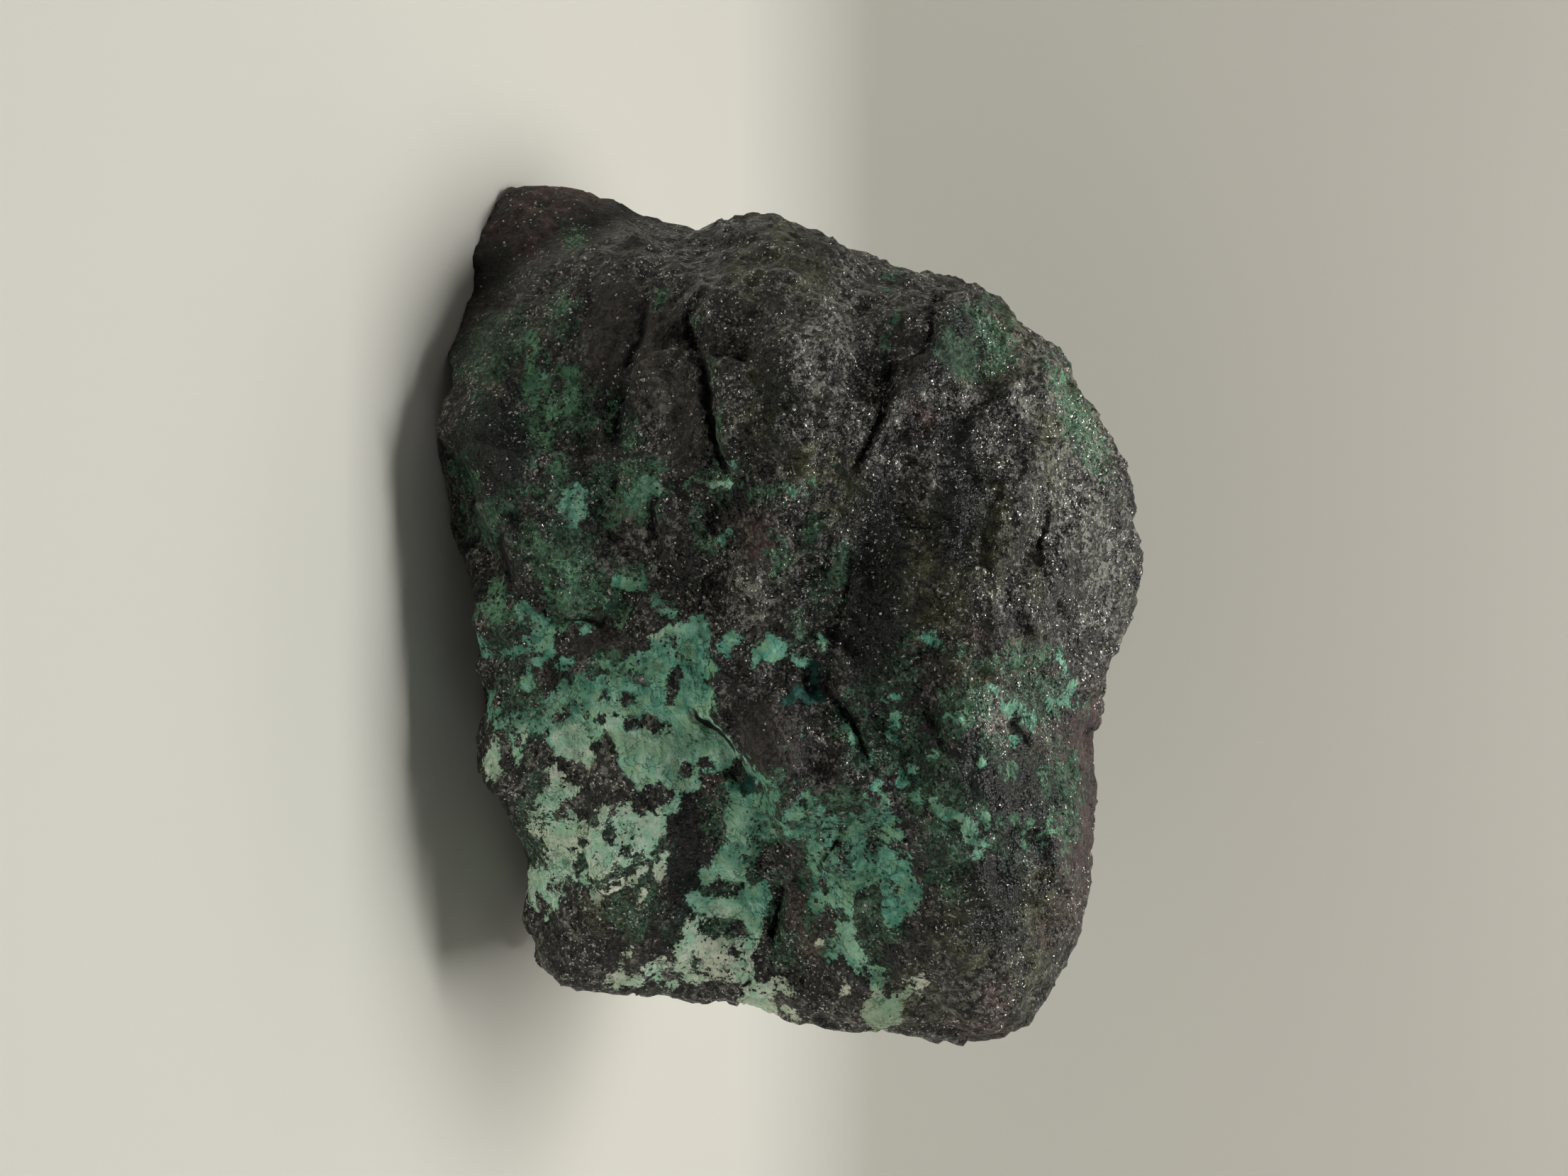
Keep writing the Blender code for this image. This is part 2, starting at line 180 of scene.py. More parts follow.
# Cracks too thin for the solid: (the line, mm across and up, and its depth in mm)
CRACKS = (
    (
        (
            (-15.4, -7.6), (-17, -8), (-19.4, -9.6), (-22, -10.6), (-28, -10.9), (-33, -11.8), (-39, -14.4),
            (-45.5, -9.9),
        ),
        1.6,
    ),
    (((-17, 9.8), (-20, 11.6), (-24.5, 13.8), (-28, 15.2), (-31, 15.8), (-35, 15.6)), 1.6),
    (((-32.6, 19.2), (-36, 21.2), (-40, 21.8), (-42.8, 22), (-45.6, 22.6)), 1.6),
    (((-44, 25.4), (-41, 26.4), (-38.4, 28.4)), 0.9),
    (((27, 13.2), (23, 11.3), (19.6, 10), (17, 8.2), (15.4, 6.8), (13.6, 5.6)), 1.5),
    (((12, 6.2), (6, 7.8), (0, 9.3), (-5.6, 10)), 0.7),
    (((-8.6, 7), (-5.4, 6.6), (-2, 5.4)), 0.6),
    (((25.6, -6.4), (22.4, -7.9), (20.6, -9.6), (19, -12.2), (16.2, -14.4)), 1.0),
    (((35.2, 8.8), (37.6, 7), (39, 5.8), (40.6, 5.2), (43, 6.5)), 0.9),
    (((30, -8.1), (34.4, -9)), 0.6),
    (((4.6, -33.2), (4.8, -28.5), (5.8, -24.8)), 0.9),
    (((2.4, -35.2), (5.2, -33.9)), 0.8),
    (((-16.2, -24.4), (-13.6, -25.4)), 0.9),
    (((-31, -23.1), (-33.6, -22.8), (-36, -21.2), (-40, -20), (-45, -19.6)), 1.2),
    (((-28, -23.6), (-24, -24.3), (-20.8, -24.2)), 1.5),
    (((-7, -18.6), (-9, -19.2), (-12, -19.2), (-14.2, -17.6)), 1.2),
    (((-6.6, -9.8), (-9, -10.1), (-11, -9.5), (-12.8, -9.9)), 1.1),
    (((0.8, -39.4), (-3, -40.6), (-6, -41.4), (-8.6, -40.9)), 1.4),
    (((45.6, -5.9), (43.2, -6.2), (42.6, -9)), 0.8),
    (((57.2, -4.2), (57.8, -6), (60.6, -6.6)), 1.1),
    (((-20.4, 8.4), (-18.2, 6), (-17, 4)), 0.7),
    (((24.5, 24.2), (20, 22.6), (16.4, 21.4)), 0.7),
    (((-27.6, -38.2), (-29.4, -39.4), (-30.6, -39.2)), 0.7),
    (((52, -1.9), (46, -0.9), (43, -0.2)), 1.4),
    (((-46.6, -42), (-46.2, -44.6)), 1.0),
)

# What lies on the crusted face, in mm across and up. Each crust is a list of closed outlines, and everything
# else is ellipses: (across, up, half length, half width, degrees of turn)
TEAL_CRUST = (
    # the broad crust under the smooth block, down to the foot
    (
        (3.9, -11.8), (5.5, -11), (8, -10.9), (10.4, -11.2), (11.5, -9.9), (13.5, -11.2), (15.6, -10.3),
        (18.5, -10.6), (20.5, -9.3), (21.3, -7.8), (23, -6.6), (25.4, -6.6), (26, -8), (27, -10),
        (27.2, -12.3), (29.6, -12.2), (30.2, -13.8), (30, -15.3), (31.5, -15.6), (29.5, -17),
        (28.4, -18.6), (29.2, -20.2), (30.6, -21.3), (28.4, -22.6), (26.5, -24.3), (24.4, -24.8),
        (22, -25.2), (21, -26.2), (21.2, -28), (22.5, -28.8), (24.2, -30), (24.9, -31.6), (24.2, -33.4),
        (22.8, -34.2), (20.5, -34), (21, -37.5), (23.5, -38), (25.8, -39.3), (22, -39.8), (20.6, -39.5),
        (20.4, -42), (19.3, -43.2), (17, -43.6), (16.8, -44.7), (14.2, -44), (15.5, -42.2), (17.2, -42),
        (17.6, -40), (17, -38), (18.2, -36.8), (16.8, -35.6), (15.5, -34.3), (14.3, -33), (13.2, -31.8),
        (12.3, -30.4), (13.1, -27.3), (13, -25.4), (10.8, -26.8), (9.8, -26.2), (10.8, -24.5), (12, -24),
        (9.8, -22.7), (8.6, -19.5), (7.3, -19.5), (6.3, -18.8), (4.8, -16), (3, -17), (0.4, -19.8),
        (0.6, -18.2), (2.6, -15.9), (4.6, -14.8), (4.4, -13.5),
    ),
    # the fold under the right end of the smooth block
    ((25.6, -5.2), (27.2, -3.2), (28.2, -2), (29.3, -3), (29, -4.4), (27.6, -5.7), (26, -6.2)),
    # right of the smooth block, as far as the pale patch on the edge
    (
        (27.5, 15.2), (29, 14.4), (31.4, 16), (34, 16.8), (35.5, 17), (38, 18), (40, 18.4), (42, 19.2),
        (44.6, 20), (47.6, 19), (48.2, 17.5), (50, 16.1), (49, 15), (47.2, 14.4), (46.6, 13.4),
        (45, 14.8), (43.8, 13.5), (44.6, 10.4), (46.6, 9.8), (49.5, 10.2), (51.5, 10.6), (54, 12),
        (56, 14), (57, 15.6), (57.7, 14.3), (59.5, 13.7), (57, 12), (55.2, 11.4), (56.5, 10.2),
        (55.5, 9.3), (53, 8.6), (55.4, 6), (51.5, 6.2), (48, 8.6), (46.5, 6.8), (48.2, 4.6), (46, 2.2),
        (44.6, 2.4), (45, 4), (40.8, 4.2), (38, 3.2), (36.5, 3.4), (36.6, 1), (36.2, -0.2), (33.5, -0.6),
        (31.6, 0), (31.2, 2), (29.8, 3), (29.4, 5.2), (31, 5.2), (33, 6.6), (34.5, 8.3), (36.3, 8.8),
        (34.6, 10), (33.4, 9.6), (31.4, 11.2), (28.4, 13),
    ),
    # below that, down to the crack
    (
        (29, -0.4), (31, -0.5), (33, -1), (35.5, -0.5), (36.6, -2.5), (36.8, -4.6), (38, -3.2),
        (39.4, -3.6), (39.8, -5.4), (43.3, -6), (43.3, -8.5), (42.4, -10), (43.9, -11.2), (42.5, -12.4),
        (42.6, -13.4), (41, -12), (38.6, -9.8), (37, -8.4), (34.5, -8.8), (29.5, -8.9), (27.4, -8.2),
        (28.5, -5.6), (29.6, -4),
    ),
    # the mint crust beside the pale field
    (
        (42, -2.6), (43.5, -2.2), (46, -1.8), (47.8, -1.4), (49, -3), (51, -3.4), (52, -5), (49.5, -5.8),
        (48.4, -7), (47.8, -9), (48.2, -11), (47.2, -12.5), (46.8, -13.6), (44.8, -14.6), (44.2, -12.8),
        (45.2, -11.6), (45.4, -9), (44.6, -7), (43.2, -5.4),
    ),
    # under the bright spot on the smooth block
    (
        (6.8, -6.2), (8.6, -6), (8.4, -7.2), (10.4, -7.9), (9.6, -9), (9.8, -10), (8, -10.2), (6.4, -8.8),
        (6.2, -7.6),
    ),
    # at the foot
    (
        (2.8, -36.6), (4.8, -34.2), (6.5, -33.6), (9.5, -33.7), (11.3, -34.8), (11.6, -36.4),
        (14.4, -36.4), (16, -36.8), (14, -38.8), (12, -37.6), (10, -37.2), (9.9, -39.5), (9.6, -41.5),
        (11, -42), (10, -43), (10.4, -45), (6.5, -45), (7.4, -43.4), (9, -42.2), (8.6, -40), (7.6, -38.6),
        (3.4, -38.9), (1.6, -39), (1.7, -37.4),
    ),
    # down the left of the broad crust
    (
        (4.6, -15), (2.8, -16), (0.6, -17.6), (0.2, -19.4), (-1.9, -19.8), (-1.5, -22), (-2.6, -24.6),
        (-2.4, -26.4), (-0.6, -25.6), (0.2, -23), (0.8, -21), (2.6, -18.4), (4.4, -16.8),
    ),
    (
        (-12.6, -28.2), (-10, -28.8), (-8.4, -30.6), (-9.6, -31.4), (-11.4, -33.2), (-13.8, -32.6),
        (-13.2, -31), (-12.2, -29.6),
    ),
    # under the crown
    (
        (13, 42), (14.5, 42.6), (16.2, 43.6), (17.4, 43.2), (17.8, 41.6), (17.4, 39.8), (18, 38.6),
        (16.6, 37.8), (15.4, 38.6), (16, 39.8), (15, 40.6), (14.2, 40.9), (12.6, 41.2),
    ),
    (
        (20.6, 37), (21.2, 35.6), (19.4, 34.6), (19.2, 33), (18.8, 31.2), (16.5, 31.2), (14.4, 30.4),
        (15.6, 32), (16.4, 33), (16, 34.2), (14.8, 35.4), (17, 35.4), (18.6, 36.2),
    ),
    # the upper right
    (
        (33.2, 30), (35.4, 29.8), (37.6, 29.6), (39.4, 28.6), (39.4, 27.2), (37.6, 27.2), (37.2, 25.8),
        (35.4, 26.4), (34.4, 25.4), (33.8, 24.8), (34.6, 23.4), (33.4, 22.8), (31.8, 21.4), (30.2, 20.8),
        (31, 22.6), (32.4, 24), (32.8, 25.6), (33.6, 26.8), (33, 28.4),
    ),
    # inside the long crack
    (
        (5, -27), (6.2, -27.2), (6.4, -29), (5.8, -31), (7.2, -33.2), (5.2, -33.4), (4.6, -31.5),
        (4.2, -29.8),
    ),
)

TEAL_SPOTS = (
    # the thin glazes of the lower left
    (-14.4, -19.4, 2.0, 2.2, 0), (-13, -22.6, 1.6, 1.4, 0), (-15.2, 0.6, 0.5, 2.0, 15),
    (-12.6, -30.6, 2.4, 2.2, -20), (-32, -34.6, 1.6, 0.6, -20),
    # left of the broad crust
    (-17.8, -7.3, 0.9, 0.3, 30), (-15.1, -9.8, 0.5, 1.4, 0), (-7.6, -8.4, 1.1, 0.4, -30),
    # the bright spot on the smooth block, and the small ones above it
    (9.2, -1.7, 2.0, 2.2, -10), (9.6, -3.8, 1.5, 1.1, 0), (10.8, 3.0, 0.7, 2.2, -20),
    (8, 5.6, 1.2, 0.6, 20), (21.6, 2.4, 0.8, 0.5, 0), (21, 9.8, 3.0, 0.8, 28), (24.4, 12.2, 0.9, 0.6, 40),
    (16.5, 15.5, 0.7, 1.4, 10), (19.3, 16.6, 1.8, 0.9, -10), (22, 15.5, 0.8, 1.6, 0),
    (28.2, 17.2, 1.4, 1.2, 0), (30.5, 19.6, 1.2, 0.8, 0), (27, 19, 1.4, 1.0, 30),
    # the mint spots under the crown
    (10.8, 40.6, 0.9, 0.6, 0), (22.8, 33.9, 1.3, 0.6, 40), (25.2, 29.2, 1.1, 1.0, 0),
    (6.6, 19.6, 0.8, 0.5, 30), (19.2, 24.8, 0.6, 1.4, 0), (24, 21.4, 0.7, 0.7, 0),
    (7.4, 21, 0.6, 1.3, -25),
    # the edges of the broad crust
    (30.6, -15.6, 2.4, 1.2, -30), (33.6, -18.2, 1.4, 0.8, -20), (20.6, -27.4, 1.8, 1.6, 0),
    (27.4, -33.4, 1.6, 0.7, -10), (34.6, -19.2, 2.4, 2.0, 0), (22.4, -8.8, 4.2, 1.3, 38),
    (11.4, -31.8, 1.2, 1.6, 0),
)

PALE_CRUST = (
    # the patch on the right edge
    (
        (56.4, 20.6), (58.5, 19), (60.5, 18), (62.8, 17.4), (64.8, 15.4), (65, 13.2), (63.8, 11.6),
        (61.4, 11.2), (60.2, 12.4), (58, 13), (59.6, 15.4), (58.4, 17.2),
    ),
    # the knob on the right edge and the strip above it
    (
        (57.6, -4.6), (57.8, -2.8), (59.2, -1.6), (61.8, -0.8), (63.2, -1.6), (62.8, -3.8), (61.6, -6),
        (60.2, -6.8), (58.4, -6.4),
    ),
    ((57, 0.4), (58.4, 1.6), (59.2, 1.8), (59.2, 0.4), (58.4, -1.4), (58.6, -2.4), (57.4, -2.6)),
    # the broad pale field and its tail down the edge
    (
        (50, -3), (52, -3.7), (54.5, -4.8), (57, -4.2), (57.8, -5.5), (57.8, -8), (57.2, -10),
        (58.4, -12.5), (57.6, -14.6), (56.2, -14.2), (55.8, -15.4), (56.4, -17.5), (57.6, -19.5),
        (58.2, -21.5), (58.6, -24.5), (57.8, -26.2), (56.2, -25.6), (56.2, -23.6), (57.4, -23),
        (56.2, -21.5), (54.2, -18), (54.4, -16.4), (52.5, -16.4), (50.5, -15), (48.2, -14.6), (47.6, -13),
        (47.5, -11), (49.5, -12.2), (51, -11), (50.8, -9.6), (51.6, -8), (50.2, -6.4), (51.6, -5),
    ),
    # the lower right, from the broad crust down to the foot
    (
        (32.6, -17.4), (35.6, -17.2), (36.8, -18.4), (38.6, -19.6), (39, -21.4), (41.4, -22.4),
        (40.8, -25), (42.2, -26.4), (43, -28.2), (44.6, -29), (46.6, -28.2), (47.2, -29.4), (43.4, -29.8),
        (42.4, -31), (44.2, -31.8), (46.4, -32.6), (48.4, -34.8), (47.6, -36.4), (45.8, -37.4),
        (41.2, -38.1), (40.2, -36.4), (38, -34.2), (37, -36), (35, -37.6), (32.4, -37.2), (32, -35.6),
        (30.6, -36.2), (29.4, -34.6), (25.8, -34.2), (25.6, -33.2), (27.8, -32.4), (28.9, -32.6),
        (29, -28.8), (30, -30), (31.8, -32.6), (32.6, -31.2), (34.2, -30.4), (34, -29.2), (32.8, -28),
        (32.8, -25), (31.2, -23.8), (30.8, -22.4), (32.4, -21.8), (33, -20.4),
    ),
    # the palest piece of the broad crust
    (
        (19.8, -30.4), (21.2, -28.8), (23, -29), (24.2, -30), (24.9, -31.6), (24, -33.2), (21.5, -33.4),
        (19.8, -31.8),
    ),
    ((22.5, -28.4), (24.6, -27.3), (26.8, -28.8), (25.3, -29.8)),
    # the foot
    ((21, -42.4), (23.5, -41.4), (28, -41.6), (28.6, -42.6), (27.4, -44), (25.4, -44.4), (23.6, -43.4)),
)

PALE_SPOTS = (
    # the bright sliver on the left of the broad crust
    (5.7, -15.6, 0.45, 1.2, 25), (6.5, -17.7, 0.4, 1.2, 5), (58.5, 9, 1.0, 0.5, 0),
    (51.8, 5, 0.9, 0.7, 0), (62, 0.6, 0.5, 1.5, -30), (57.9, -16.2, 0.6, 0.8, 0),
    (54, -23.4, 1.1, 0.5, -40), (38.6, -17.6, 1.0, 0.7, 0), (41, -18, 1.6, 0.7, 0),
    (46, -21.3, 1.2, 0.6, -20), (22.5, -38.6, 2.0, 0.6, -15), (46.8, -9.4, 0.9, 2.0, 10),
    (54, -9.4, 2.4, 1.6, 0), (35, -18.8, 2.6, 1.4, -15), (22.6, -29.8, 2.6, 1.4, -10),
    (41.4, -21, 1.8, 0.7, -35), (43.4, -24.4, 0.6, 2.0, 20), (44.8, -27.4, 1.4, 0.9, 20),
    (37.8, -32.4, 1.4, 2.2, 10), (57.6, 19.8, 1.6, 0.9, -30),
)

GREEN_CRUST = (
    # left of the broad crust and under it
    (
        (-16.5, -17.2), (-14.8, -18), (-14, -19.4), (-12, -19.6), (-9.6, -20), (-9.8, -22),
        (-11.5, -24.4), (-13, -25.8), (-15, -24.5), (-17, -22.4), (-17.6, -19.8),
    ),
    (
        (-33, -29.5), (-30, -28.6), (-27, -29.4), (-24.4, -31), (-24.8, -33), (-22, -33.4), (-20, -34.4),
        (-19.4, -36), (-21.5, -37), (-25, -36.8), (-28, -37.8), (-31, -38.6), (-33, -37.4), (-37, -38.4),
        (-38, -36.4), (-35, -35.4), (-32.4, -35), (-33.4, -32.4),
    ),
    (
        (-9, -31.4), (-7.4, -29.4), (-5, -28.2), (-3, -27.4), (-0.5, -26.6), (2.4, -25), (4.2, -26.4),
        (4.4, -29.6), (4.2, -32), (2.4, -34.8), (-0.6, -35.6), (-3.6, -36.6), (-7.4, -37), (-9.6, -36),
        (-9, -33.8),
    ),
    (
        (-13.6, -40), (-11, -39.6), (-9.6, -41.4), (-6.6, -41.6), (-6.4, -44), (-7, -46.6), (-12, -46),
        (-16.5, -47), (-17, -45), (-13.6, -43.4),
    ),
    ((0.6, -39.8), (3, -39.4), (5.2, -40.4), (5.4, -43), (4.6, -45.6), (2.8, -45.6), (0.8, -43.6)),
    # under the crown
    (
        (26.4, 43.2), (29.4, 43.4), (30.6, 41.6), (29.6, 40), (31.2, 38.6), (29, 37.4), (26, 38.2),
        (25.6, 40), (26.8, 41.2),
    ),
    ((33.4, 36.4), (36, 36), (39.2, 35.4), (39.4, 34), (36.4, 34), (33.8, 34.8)),
    ((9.6, 36), (10.8, 36), (11.8, 34.6), (11.6, 33), (10.6, 32.6), (10, 33.8)),
    ((33, 33.8), (34.8, 33.8), (34.8, 31), (33, 31)),
    # the left shoulder
    ((-39, 34.2), (-40.8, 33), (-42.4, 31), (-43, 29.4), (-40.6, 29), (-39.6, 31), (-38.6, 33)),
    (
        (-38.4, 24.2), (-36.8, 26.2), (-35, 27.8), (-33.6, 28.8), (-32, 28.2), (-30.8, 26.6), (-30.2, 25),
        (-31.4, 23.2), (-33.2, 21.8), (-36.4, 21.8), (-38, 22.8),
    ),
)

GREEN_SPOTS = (
    (-18.6, -33.4, 1.8, 1.4, 0), (-22, -35, 2.8, 1.6, 0), (-27.5, -34.6, 3.2, 1.8, -10),
    (0.4, -42, 1.8, 2.2, 0), (3.4, -24, 2.2, 1.8, 0), (-2.6, -23, 1.3, 3.2, 0),
    (42.6, 21.2, 1.3, 0.9, 30),
    # under the crown
    (17.5, 44, 1.2, 0.6, 0), (19.8, 35.3, 1.3, 0.8, 40), (7, 19.4, 1.4, 1.0, 30), (9, 25.6, 0.5, 1.4, 0),
    (19, 26, 2.4, 2.2, 0), (34.5, 39, 2.6, 0.9, -10), (26.5, 33, 1.3, 1.4, 0), (38.2, 24.4, 1.2, 0.7, 0),
    # the lower left
    (-41.6, -17.8, 1.9, 1.1, 20), (-40.2, -32.4, 1.2, 1.6, 30), (-51, -30.6, 1.2, 1.0, 0),
    (-26, -25.4, 2.4, 1.2, 0), (-21.4, -22.2, 1.4, 0.7, 0),
    # the left lobes
    (-45, 15.6, 1.5, 0.8, -30), (-38, 15.6, 2.7, 0.5, -20), (-29.5, 40.4, 2.4, 0.7, 0),
    (-22, -10, 3, 0.5, 0), (-32, -11, 1.3, 0.7, 10), (-38.6, -13.6, 1.4, 0.6, 0),
    # the middle
    (-15, 1.8, 1.0, 2.4, 10), (-14.5, -1.2, 0.7, 2.0, 20), (-15.4, -12.6, 0.9, 2.4, 0),
    (-14.2, -35.6, 0.4, 2.6, 0), (-5.8, -9.8, 0.8, 1.2, 30), (-2, 7.6, 2.0, 1.0, -20),
    (2, 7, 0.7, 0.7, 0), (-8.4, 4.2, 1.6, 0.8, -20), (3.4, -17.6, 1.4, 1.0, 0),
    (13.4, -30.4, 1.6, 2.0, 0), (52, 6, 2.2, 1.2, -20),
)

GREEN_STAIN = (
    (-27, -31, 6, 3.6, 0), (-26, -36.5, 9, 3, 0), (-40, -32.5, 3.5, 3, 0), (-23, -23, 4, 2, 0),
    (-51.5, -30.5, 2.6, 2.2, 0), (-24, -44, 5, 2.4, 0), (-18, -46, 3.4, 1.8, 0), (-10, -42, 4, 2, 0),
    (-14, -40, 3, 2, 0), (-3, -32, 8, 4.6, 0), (-6, -37, 5, 2.4, 0), (2, -30, 4.4, 3.6, 0),
    (-15, -20.5, 5.4, 4.4, 0), (-9, -12, 3, 2, 0), (-16, -9, 4, 3, 0), (7, 2.5, 3, 1.6, 0),
    (0, 5, 3, 1.6, 0), (-4, -1, 3, 1.5, 0), (13, 16, 5, 4, 0), (14, 13, 4, 3, 0), (21, 17, 5, 4, 0),
    (12, -25, 3.4, 4, 0), (17, 27, 4, 4, 0), (20, 25, 2, 3, 0), (16, 37, 4, 5, 0), (10, 35, 2.4, 6, 10),
    (30, 38, 7, 2.4, -4), (37, 33, 4.4, 4, 0), (38, 24, 7, 4, 0), (28, 20, 6, 4, 0), (25, 16, 3, 2.4, 0),
    (24, 12, 4, 3, 0), (24, 30, 3, 3, 0), (30, 25, 5, 5, 0), (33, -9, 5, 3, 0), (46, -1, 5, 1.4, 0),
    (53, 0, 4, 2.5, 0), (46, -22, 5, 4, 0), (39, -26, 6, 10, 0), (34, -36, 7, 3, 0), (7, -40, 5, 4, 0),
    (28.5, -1, 2.4, 3, 0), (33, -3, 5, 6, 0), (0, -27, 5, 2.4, 0), (-8, 4, 2.6, 1.4, -20),
    (-14, -2, 1.6, 4, 0), (42, 24, 4, 3, 0), (34, 8, 6, 7, 0), (44, 13, 9, 6, 0), (53, 12, 5, 3, 20),
    (43, -7, 6, 4, 0), (50, -12, 7, 5, 0), (17, -38, 7, 4, 0), (-4, 8, 4, 2, -20), (-14, -26, 5, 4, 0),
    (-35, -42, 7, 4, -40), (-15, -33, 4, 3, 0), (-36, 28, 6, 5, 30), (-24, 43, 9, 2.4, 25),
    (31, 41, 8, 2.4, -3), (45, 3.4, 6, 1.6, 5), (20, 10, 4, 3, 20),
)

OLIVE_STAIN = (
    (-27, -3, 5, 3, 0), (-48, 3, 6, 2.5, 10), (-50, -1, 4, 3, 0), (-46, -6, 4, 3, 0),
    (-32, 31, 2.5, 5, 20), (-38, 33, 3, 3, 0), (-22, 39, 6, 2, 0), (-28, 41.5, 4, 2, 0),
    (-18, 5, 4, 4, 0), (-14, 8, 5, 3, 0), (-5, 20, 6, 4, 0), (2, 22, 6, 5, 0), (10, 34, 3, 4, 0),
    (12, 28, 4, 4, 0), (46, 37.5, 5, 4, 0), (53.5, 37.5, 4, 2, 0), (57, 34, 5, 2, 0), (50, 27, 6, 5, 0),
    (43, 38, 3, 3, 0), (60, 19, 4, 3, 0), (24, 36, 3, 2, 0), (0, -28, 4, 2.5, 0), (46, -24, 5, 5, 0),
    (33, -35, 3, 1.5, 0), (2, 36.4, 5, 0.8, 5), (-34, -40, 5, 3, -40), (-8, 30, 8, 3, 0),
    (-25, 44, 6, 2.4, 25),
)

BROWN_STAIN = (
    (18, 45, 3, 1.6, 0), (22.5, 42, 3.5, 3, 0), (34, 43, 5, 2.2, 0), (43, 43, 5, 1.8, 0),
    (48.5, 39.5, 4, 1.8, -20), (60, 31.5, 5, 2.4, -15), (63, 27.5, 2.5, 3, 0), (50, 2.6, 4, 1.4, 20),
    (15, -35.4, 2.6, 1, 0), (28.5, -10, 2.2, 1.5, 0), (8, -41.4, 1.6, 1.5, 0), (-25, 20, 2, 2, 0),
    (-7, -4, 4, 3, 0), (41, -4.5, 1.6, 1.2, 0), (7.4, 27.4, 1.4, 2, 0),
)

# Where the ore is lighter and glints more, partly a painted sheen, and where it is darker, partly painted
# shade
LIGHT_ORE_AND_SHEEN = (
    (-17, 43, 12, 6, -10), (-2, 47, 10, 3, 0), (-32, 36, 8, 6, 30), (-40, 5, 10, 6, 0),
    (-28, 6, 8, 3, -10), (0, -4, 8, 4, 10), (-30, -18, 7, 3, -5), (-9, -22, 6, 3, 0), (59, 25, 4, 7, 0),
    (28, -25, 4, 3, 0), (46, 3, 8, 2, 5), (20, 30, 5, 3, 20), (-30, 36, 6, 4, 30), (-30, -18, 5, 2.4, -5),
)
DARK_ORE_AND_SHADE = (
    (-49, 4, 5, 3, 0), (31, 35, 8, 4.5, -5), (26, 29, 5, 4, 0), (46, 31, 7, 4, -15), (-20, -42, 7, 4, 0),
    (-2, 14, 12, 4, 0), (8, 12, 5, 3, 0), (-14, 26, 10, 3, 0), (-26, -25, 6, 2, -5),
    (42, -14.5, 7, 2.0, 0), (-53, -21, 4, 11, 8), (-30, -1, 4, 2, 0), (-36, 25, 4, 3, 30),
    (-46, -42, 5, 3, -30), (30.5, 36, 4.6, 3.2, 0), (30, 36, 3.4, 2, 0), (44, 31.5, 4, 4.4, 0),
)

# The thickest and lightest of the blue-green crust, lightened in part as painted light where the lower front
# takes more light
RICH_AND_LIT_CRUST = (
    (15.4, 40.6, 3, 3, 0), (16.4, 32.6, 1.6, 1.6, 0), (-41.6, -17.8, 2.4, 1.6, 20),
    (60.4, 15.6, 2.4, 1.6, 0), (59.4, -4, 2, 1.4, 0), (29.6, -15.4, 3.6, 2.4, 0), (54.6, -5.6, 3, 1.2, 0),
    (-11.4, -30, 1.1, 1.1, 0), (36.6, 28.2, 3, 1.6, 0), (36, -21, 5, 6, 0), (38.4, -26, 3, 4, 0),
    (51.4, -5, 2.4, 2.4, 0), (44, -33, 6, 5, 0), (57, -18, 2, 4, 0), (32, -33, 4, 4, 0),
    (-26, -34.6, 7, 3, 0), (-35.5, -37, 3, 1.6, 0), (-14.6, 0.4, 1.6, 4, 0), (-15, -9, 1.6, 4, 0),
    (50.6, -14, 3, 1.6, -20), (6, -17, 1.4, 2.4, 0), (24.4, -42, 3, 1.4, 0), (0.6, -33, 1.6, 2, 0),
    (1.8, -41.6, 3, 2.6, 0), (-15.6, -19, 2, 2.4, 0), (-29, 40.4, 3, 1.4, 0), (26, -16.5, 4, 3.6, 0),
    (22, -20, 3, 6, 0), (27, -21, 3, 1.6, 10), (19.4, -25, 3, 4, 0), (22.5, -9.4, 5, 3, 35),
    (46.8, -9.6, 2, 4, 0), (42, -9, 2.4, 3, 0), (19.4, -13, 1.8, 2.4, 0), (23, -31, 3, 4, 0),
    (17, -33.6, 3, 1.4, -20), (23, -39, 3.4, 1.4, 0), (53, 11, 5, 2, 35), (49, 9.4, 3, 1.2, 10),
    (34.5, -7, 2.6, 1.6, 0),
)
